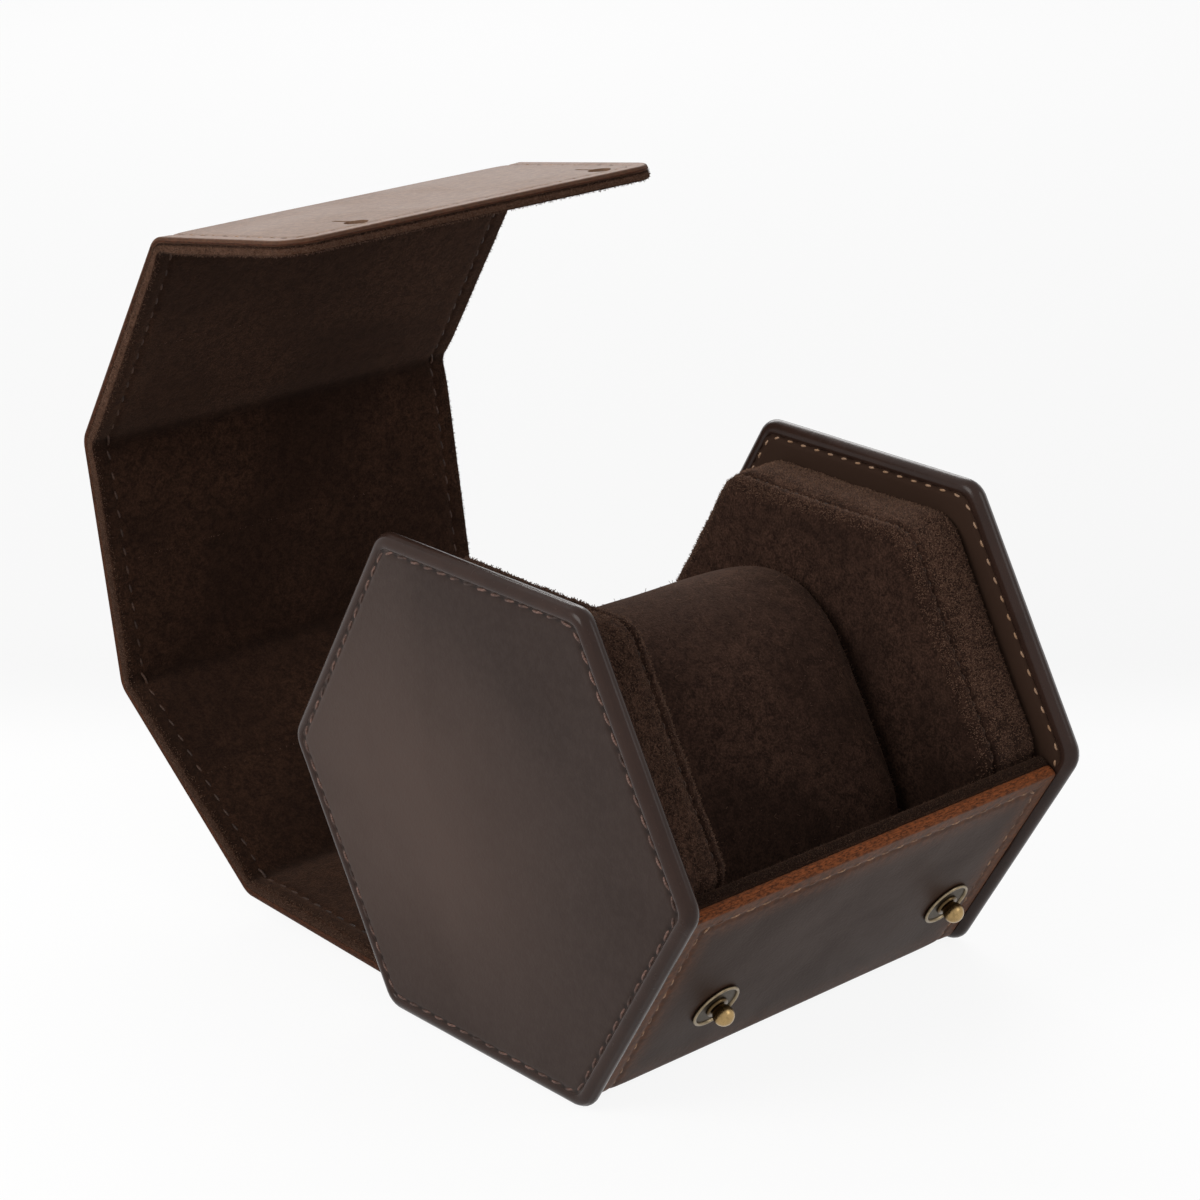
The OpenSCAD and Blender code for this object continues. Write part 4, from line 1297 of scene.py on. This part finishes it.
def strip_sheet(name, form, a, b, layer):
    """One layer of the strip between stations a and b, as a closed shell."""
    rows = slice(a, b + 1)
    n = b - a + 1
    s_row = form.s[rows]
    half_mm = form.half[rows].max() / MM
    across = np.array([-(half_mm - e) / half_mm for e in [0.0] + CROSS_EDGE] + [0.0])
    across = np.concatenate([across, -across[-2::-1]])
    cols = len(across)
    x = narrowed(s_row, form)[:, None] * across[None, :]
    s, fold, thick = (np.repeat(values[:, None], cols, 1)
                      for values in (s_row, form.fold[rows] / MM, form.thick[rows] / MM))
    e = edge_distance(x, s, form)
    flat = np.stack([x, s, np.zeros_like(x)], -1).reshape(-1, 3)
    wave = ripple(flat, 48, 2).reshape(x.shape)
    joint = thick * form.share[rows][:, None]
    lip = rounding(e, JOINT_EDGE)
    if layer == "leather":
        upper = outer_dip(e, fold) + 0.06 * (wave + 1) * step(e, 2, 8)
        lower = joint - lip
    else:
        fine = ripple(flat, 330, 8).reshape(x.shape)
        upper = joint + LAYER_GAP + lip
        lower = thick - inner_dip(e, fold) - (0.16 * (wave + 1) * step(e, 3, 9)
                                              + 0.05 * (fine + 1)) * step(fold, 0, 4)
    lower = np.maximum(lower, upper + LEAST_LAYER)

    def laid(px, depth, near, cut):
        """Place, flow, edge, wall and fold of points at px across and depth in."""
        at = form.out[rows][:, None, :] + \
            form.in_dir[rows][:, None, :] * depth[..., None] * MM
        return np.stack(np.broadcast_arrays(px, at[..., 0], at[..., 1], px, s_row[:, None],
                                            depth * MM, near, cut, fold[:, :1]), -1)

    walls = []
    for col, out in ((-1, 1), (0, -1)):
        for t in WALL_PARTS[::out]:
            puff = WALL_PUFF * math.sin(math.pi * t) + 0.05 * ripple(
                np.column_stack([s_row, np.full(n, t * 0.002), np.full(n, out * 0.1)]), 700, 3)
            px = x[:, col] + out * puff * MM
            depth = upper[:, col] + (lower[:, col] - upper[:, col]) * t
            walls.append(laid(px[:, None], depth[:, None], 0.0, 1.0))
    brink = np.where(e < 0.02, 0.5, 0.0)
    ring = np.concatenate([laid(x, upper, e, brink), *walls[:3],
                           laid(x, lower, e, brink)[:, ::-1], *walls[3:]], 1)
    around = ring.shape[1]
    verts, faces, total = [ring.reshape(n * around, -1)], ring_faces(n, around), n * around
    for row, free, sign in ((0, a == 0, -1), (n - 1, b == len(form.s) - 1, 1)):
        ids = row * around + np.arange(around)
        if not free:
            verts.append(ring[row])
            ids = total + np.arange(around)
            total += around
        bottom = slice(cols + 3, 2 * cols + 3)
        previous, last = ids[:cols], ids[bottom][::-1]
        right, left = ids[cols:cols + 3], ids[2 * cols + 3:][::-1]
        here = a + min(row, n - 2)
        tangent = unit(form.out[here + 1] - form.out[here]) * sign
        for k, t in enumerate(WALL_PARTS):
            inner = ring[row, 1:cols - 1] * (1 - t) + ring[row, bottom][::-1][1:-1] * t
            inner[:, 6:] = 0.0, 1.0, fold[row, 0]
            if free:
                puff = WALL_PUFF * math.sin(math.pi * t) + 0.06 * ripple(
                    np.column_stack([inner[:, 0], np.full(cols - 2, t * 0.002),
                                     np.full(cols - 2, 0.3)]), 700, 5)
                inner[:, 1:3] += tangent[None] * puff[:, None] * MM
                inner[:, 4] += sign * puff * MM
            verts.append(inner)
            line = np.concatenate([[left[k]], total + np.arange(cols - 2), [right[k]]])
            total += cols - 2
            faces += np.stack([previous[:-1], previous[1:], line[1:], line[:-1]], 1).tolist()
            previous = line
        faces += np.stack([previous[:-1], previous[1:], last[1:], last[:-1]], 1).tolist()
    verts = np.concatenate(verts)
    return make_piece(name, verts[:, :3], faces, material_of("strip_" + layer), {
        "flow": verts[:, 3:6], "edge": verts[:, 6], "wall": verts[:, 7], "fold": verts[:, 8]})


def strip_point(form, x, s, layer):
    """Point on the strip's outer or inner surface, and its outward direction."""
    e = edge_distance(x, s, form)
    fold, thick = (np.interp(s, form.s, values) / MM for values in (form.fold, form.thick))
    out, way = (np.column_stack([np.interp(s, form.s, values[:, i]) for i in (0, 1)])
                for values in (form.out, form.in_dir))
    if layer == "leather":
        depth, sign = outer_dip(e, fold) + THREAD_SINKS[layer], -1
    else:
        depth, sign = thick - inner_dip(e, fold) - THREAD_SINKS[layer], 1
    at = out + way * depth[:, None] * MM
    return np.column_stack([x, at]), with_x(0, way * sign)


def seam_lines(form, a, b, layer):
    """The seam along both edges between two stations, and round a free end."""
    s0, s1 = form.s[a], form.s[b]
    inset = sizes().strip_seam

    def side(s, sign):
        return sign * (np.interp(s, form.s, form.half) - inset)

    if a and b < len(form.s) - 1:
        s = np.linspace(s0, s1, int((s1 - s0) / MM))
        return [(*strip_point(form, side(s, sign), s, layer), False) for sign in (-1, 1)]
    if a == 0:
        inner, end, corner, sign = s1, inset * START_SEAM_SHARE, START_SEAM_CORNER, -1
    else:
        inner, end, corner, sign = s0, form.s[-1] - inset, sizes().flap_corner - inset, 1
    s = np.linspace(inner, end - sign * corner, int(abs(end - inner) / MM))
    wide = side(s[-1:], 1)[0]
    bend = np.linspace(0, math.pi / 2, 7)[1:-1]
    bend_x = wide - corner + corner * np.cos(bend)
    bend_s = end - sign * corner * (1 - np.sin(bend))
    cross = np.linspace(wide - corner, -(wide - corner), CROSS_POINTS)
    xs = np.concatenate([side(s, 1), bend_x, cross, -bend_x[::-1], side(s, -1)[::-1]])
    ss = np.concatenate([s, bend_s, np.full(CROSS_POINTS, end), bend_s[::-1], s[::-1]])
    return [(*strip_point(form, xs, ss, layer), False)]


def bend_with(piece, span):
    """Attaches a strip piece to its one body; a piece between two bodies only has its transform
    baked into its mesh.
    """
    bodies = SPANS[span][1]
    if len(bodies) == 1:
        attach(piece, bodies[0])
        return
    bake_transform(piece)


def stud_x():
    s = sizes()
    return [s.stud_shift + sign * s.stud_pitch / 2 for sign in (-1, 1)]


HOLE_ROOM = 0.6 * MM        # how much wider a hole is than the stud part in it
SLIT, SLIT_HALF = 4.5 * MM, 0.4 * MM
CUT_SEEN = 0.06 * MM        # how near a hole's outline a vertex belongs to its cut
PUNCH_DEPTHS = (-3 * MM, 6 * MM)
UNWORN = 20.0               # mm from edge and fold, so that a hole's wall shows no wear
CUT_SHARP = math.radians(38)
STRIP_NAP = 0.42            # of the nap's length


def punched(piece, form, layer):
    """Cuts the flap's buttonholes, or the wider rounds in its lining."""
    s = sizes()
    along = heading(form.headings[5])
    up = left_of(along)
    centre = form.folds[4] + along * (form.fold_s + s.stud_drop)
    slit, half = (SLIT, SLIT_HALF) if layer == "leather" else (0, 0)
    r = ((s.ball_d if layer == "leather" else s.washer_d) + HOLE_ROOM) / 2
    if slit:
        first = math.asin(half / r)
        angles = np.linspace(-math.pi + first, math.pi - first, 40)
    else:
        angles = np.linspace(0, 2 * math.pi, 56, endpoint=False)
    outline = [(r * math.sin(a), r * math.cos(a)) for a in angles]
    if slit:
        outline += [(half * u, -r - slit + half * v)
                    for u, v in ((1, 1), (0.7, 0.3), (0, 0), (-0.7, 0.3), (-1, 1))]
    shape = bmesh.new()
    for x in stud_x():
        rings = [[shape.verts.new((x + u, *(centre + along * v + up * depth)))
                  for u, v in outline] for depth in PUNCH_DEPTHS]
        shape.faces.new(rings[0])
        shape.faces.new(rings[1][::-1])
        for i in range(len(outline)):
            j = (i + 1) % len(outline)
            shape.faces.new([rings[0][i], rings[1][i], rings[1][j], rings[0][j]])
    bmesh.ops.recalc_face_normals(shape, faces=shape.faces)
    mesh = bpy.data.meshes.new("punch")
    shape.to_mesh(mesh)
    shape.free()
    mesh.materials.append(piece.data.materials[0])
    punch = linked("punch", mesh)
    cut = piece.modifiers.new("punch", "BOOLEAN")
    cut.operation, cut.solver, cut.object = "DIFFERENCE", "EXACT", punch
    settled(piece)
    bpy.data.objects.remove(punch)
    piece.data.set_sharp_from_angle(angle=CUT_SHARP)
    co = read(piece.data.vertices, "co", 3)
    place = (co[:, 1:] - centre) @ along
    near = np.zeros(len(co), bool)
    for x in stud_x():
        aside = np.abs(co[:, 0] - x)
        near |= np.abs(np.hypot(aside, place) - r) < CUT_SEEN
        if slit:
            near |= (aside < half + CUT_SEEN) & (place < 0) & (place > -r - slit - 0.1 * MM)
    flow = np.column_stack([co[:, 0], form.s[-1] - FLAP_PAST_STUDS + place, np.zeros(len(co))])
    for title, value in (("flow", flow[near]), ("edge", UNWORN), ("fold", UNWORN), ("wall", 0.0)):
        key, width = ("vector", 3) if title == "flow" else ("value", 1)
        data = piece.data.attributes[title].data
        kept = read(data, key, width)
        kept[near] = value
        write(data, key, kept)


class CASE_OT_strip(bpy.types.Operator):
    """The leather strip with its suede lining, seams and raw edges, from front to flap"""
    bl_idname = "case.strip"
    bl_label = "Leather strip"

    def execute(self, context):
        form = strip_stations()
        for span, (title, _, panels) in enumerate(SPANS):
            a, b = form.stops[span:span + 2]
            for layer, slot, part, thread in (
                    ("leather", "strip_leather", "leather", "waxed_thread"),
                    ("suede", "suede", "lining", "dark_thread")):
                piece = strip_sheet(f"{title}_{layer}", form, a, b, layer)
                if title == "flap_fold":
                    punched(piece, form, layer)
                if layer == "suede":
                    wall, edge = (read(piece.data.attributes[key].data, "value")
                                  for key in ("wall", "edge"))
                    shag = np.clip(wall, 0, 1) + 0.5 * (1 - step(edge, 0.2, 1.2)) * (wall < 0.1)
                    nap = napped(f"{title}_nap", piece, shag, FIBRES["strip"],
                                 sizes().nap_length * STRIP_NAP, 20 + span,
                                 "suede_fibre" if span else "dark_fibre")
                    bend_with(nap, span)
                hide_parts(*[f"{panel}_{part}" for panel in panels])
                bend_with(piece, span)
                bend_with(sewn(f"{title}_{layer}_seam", seam_lines(form, a, b, layer), thread),
                          span)
        return {"FINISHED"}


# ---- Studs ----

# Sections as (radius, height) in mm. The post's starts and ends at its middle.
DISH_SECTION = [(1.35, 0.02), (1.35, 0.3), (2.3, 0.32), (3.3, 0.28), (4.0, 0.24), (4.25, 0.16),
                (4.25, 0.02)]
RING_MIDDLE, RING_ROUND = (4.4, 0.32), 0.3
RING_SECTION = [(RING_MIDDLE[0] + RING_ROUND * math.sin(math.radians(a)),
                 RING_MIDDLE[1] + RING_ROUND * math.cos(math.radians(a)))
                for a in range(-60, 181, 20)] + [(4.1, 0.02)]
BALL_HEIGHT, BALL_RADIUS = 2.3, 1.85
POST_SECTION = [(0, -0.4), (1.2, -0.4), (1.2, 0.34), (2.0, 0.34), (2.1, 0.4), (2.1, 0.72),
                (2.0, 0.86), (1.78, 0.92), (1.5, 0.94), (1.28, 1.02), (1.18, 1.14)] + [
    (BALL_RADIUS * math.sin(math.radians(a)),
     BALL_HEIGHT - BALL_RADIUS * math.cos(math.radians(a)))
    for a in range(40, 180, 7)] + [(0, 4.15)]


def turned_part(name, section, finish, places, steps=64):
    """Rings turned from a section at each place, closed on itself if it has no pole."""
    verts, faces, heights = [], [], []
    for at, x_way, y_way, z_way in places:
        rows = []
        for r, h in section:
            angles = [2 * math.pi * i / steps for i in range(steps if r else 1)]
            rows.append([len(verts) + i for i in range(len(angles))])
            verts += [at + (x_way * math.cos(a) + y_way * math.sin(a)) * r * MM
                      + z_way * h * MM for a in angles]
            heights += [h] * len(angles)
        closing = [] if section[0][0] == 0 else [(rows[-1], rows[0])]
        for low, high in [*zip(rows, rows[1:]), *closing]:
            for i in range(steps):
                corners = [low[i % len(low)], low[(i + 1) % steps % len(low)],
                           high[(i + 1) % steps % len(high)], high[i % len(high)]]
                faces.append(list(dict.fromkeys(corners)))
    return make_piece(name, verts, faces, material_of(finish), {"height": heights}, sharp=40)


def repainted(node_name, finish):
    """Gives a CAD node its own finish."""
    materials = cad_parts[node_name].data.materials
    materials.clear()
    materials.append(material_of(finish))


class CASE_OT_studs(bpy.types.Operator):
    """Ball studs on ring washers, and the screws behind them"""
    bl_idname = "case.studs"
    bl_label = "Studs"

    def execute(self, context):
        form = strip_stations()
        down = np.array([0.5, -COS30])
        spot = form.out[0] + down * form.studs_from_start
        places = [(np.array([x, *spot]), np.array([1.0, 0, 0]), np.array([0, *down]),
                   np.array([0, -COS30, -0.5])) for x in stud_x()]
        dress(turned_part("stud_dishes", DISH_SECTION, "dark_brass", places), "case",
              "aged_brass", "stud_washers")
        dress(turned_part("stud_rings", RING_SECTION, "aged_brass", places), "case",
              "aged_brass", "stud_washers")
        dress(turned_part("stud_balls", POST_SECTION, "bright_brass", places, 48), "case",
              "brass", "stud_posts")
        repainted("stud_screws", "aged_brass")
        return {"FINISHED"}


class CASE_OT_boards(bpy.types.Operator):
    """Gives the boards inside the leather their own finish"""
    bl_idname = "case.boards"
    bl_label = "Boards"

    def execute(self, context):
        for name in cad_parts:
            if name.endswith("_board"):
                repainted(name, "grey_board")
        return {"FINISHED"}


# ---- Stage ----

FLOOR_GLOW = 0.9
FLOOR_HALF, FLOOR_Z = 3, -0.0002
FROM_CAMERA = (0.67, 0.742, 0)
CAMERA_AZ, CAMERA_EL, CAMERA_ROLL = map(math.radians, (-42.081, 20.781, -0.269))
CAMERA_DISTANCE, CAMERA_RIGHT, CAMERA_UP = 0.55742, -0.014516, 0.024726
FOCAL_PIXELS, FRAME_PIXELS, SENSOR = 3260.6, 1200, 36
LIGHTS = (("key_light", (-0.62, 0.12, 0.5), (0, 0, 0.05), (0.4, 0.4), 3, (1, 0.985, 0.96)),
          ("back_light", (0.6, 0.85, 0.6), (0, 0, 0.1), (0.9, 0.5), 7, (1, 1, 1)),
          ("side_light", (0.5, -1.0, 0.9), (0, 0, 0.05), (0.6, 0.6), 2.8, (1, 1, 1)))


def floor_material():
    """Pale floor, whiter near the camera, that keeps a faint shadow of the case."""
    material = bpy.data.materials.new("pale_floor")
    material.use_nodes = True
    material.node_tree.nodes.clear()
    t = Tree(material.node_tree)
    where = t.node("ShaderNodeTexCoord")["Object"]
    away = t.node("ShaderNodeVectorMath", {0: where, 1: FROM_CAMERA},
                  operation="DOT_PRODUCT")["Value"]
    tone = t.mixed(t.ramp(away, 0.09, 0.15), (1, 1, 1), (0.94, 0.94, 0.94))
    matt = t.node("ShaderNodeBsdfDiffuse", {"Color": tone})
    glow = t.node("ShaderNodeEmission", {"Color": tone})
    both = t.node("ShaderNodeMixShader", {0: t.times(t.seen(), FLOOR_GLOW), 1: matt[0],
                                          2: glow[0]})
    t.node("ShaderNodeOutputMaterial", {"Surface": both[0]})
    return material


def studio_world():
    world = bpy.data.worlds.new("studio")
    world.use_nodes = True
    t = Tree(world.node_tree)
    t.fill(world.node_tree.nodes["Background"], {0: (1, 1, 1, 1), 1: t.line(t.seen(), 0.55, 0.4)})
    return world


def soft_light(name, at, target, area, power, colour):
    data = bpy.data.lights.new(name, "AREA")
    data.shape = "RECTANGLE"
    (data.size, data.size_y), data.energy, data.color = area, power, colour
    lamp = linked(name, data)
    lamp.location = at
    lamp.rotation_euler = (Vector(target) - Vector(at)).to_track_quat("-Z", "Y").to_euler()


def photo_camera():
    back = Vector((math.sin(CAMERA_AZ) * math.cos(CAMERA_EL),
                   -math.cos(CAMERA_AZ) * math.cos(CAMERA_EL), math.sin(CAMERA_EL)))
    right = (-back).cross(Vector((0, 0, 1))).normalized()
    up = right.cross(-back)
    c, s = math.cos(CAMERA_ROLL), math.sin(CAMERA_ROLL)
    right, up = right * c + up * s, up * c - right * s
    target = Vector((0, 0, plate_reach())) + right * CAMERA_RIGHT + up * CAMERA_UP
    data = bpy.data.cameras.new("photo_camera")
    data.sensor_width = SENSOR
    data.lens = FOCAL_PIXELS / FRAME_PIXELS * SENSOR
    data.clip_start, data.clip_end = 0.01, 20
    camera = linked("photo_camera", data)
    turned = Matrix((right, up, back)).transposed().to_4x4()
    camera.matrix_world = Matrix.Translation(target + back * CAMERA_DISTANCE) @ turned
    bpy.context.scene.camera = camera


class CASE_OT_stage(bpy.types.Operator):
    """Pale floor, soft lights and the photograph's camera"""
    bl_idname = "case.stage"
    bl_label = "Stage"

    def execute(self, context):
        corners = [(x * FLOOR_HALF, y * FLOOR_HALF, FLOOR_Z)
                   for x, y in ((-1, -1), (1, -1), (1, 1), (-1, 1))]
        make_piece("floor", corners, [(0, 1, 2, 3)], floor_material(), recalc=False)
        context.scene.world = studio_world()
        for light in LIGHTS:
            soft_light(*light)
        photo_camera()
        context.scene.view_settings.view_transform = "Standard"
        return {"FINISHED"}


# ---- Panel and registration ----

STEPS = (CASE_OT_stage, CASE_OT_end_plates, CASE_OT_end_cushions, CASE_OT_watch_pillow,
         CASE_OT_strip, CASE_OT_studs, CASE_OT_boards)


class CASE_PT_panel(bpy.types.Panel):
    """Lists the case's making steps with its sizes and colours"""
    bl_idname = "CASE_PT_panel"
    bl_label = "Watch travel case"
    bl_space_type = "VIEW_3D"
    bl_region_type = "UI"
    bl_category = "Case"

    def draw(self, context):
        for made in STEPS:
            self.layout.operator(made.bl_idname)
        for values in (context.scene.case_sizes, context.scene.case_colours):
            box = self.layout.box()
            for name in values.__annotations__:
                box.prop(values, name)


CLASSES = (CaseSizes, CaseColours, *STEPS, CASE_PT_panel)


def register():
    for made in CLASSES:
        bpy.utils.register_class(made)
    bpy.types.Scene.case_sizes = bpy.props.PointerProperty(type=CaseSizes)
    bpy.types.Scene.case_colours = bpy.props.PointerProperty(type=CaseColours)


def unregister():
    del bpy.types.Scene.case_sizes
    del bpy.types.Scene.case_colours
    for made in reversed(CLASSES):
        bpy.utils.unregister_class(made)


def main():
    register()
    bpy.ops.case.stage()
    bpy.ops.case.end_plates()
    bpy.ops.case.end_cushions()
    bpy.ops.case.watch_pillow()
    bpy.ops.case.strip()
    bpy.ops.case.studs()
    bpy.ops.case.boards()


if __name__ == "__main__":
    main()
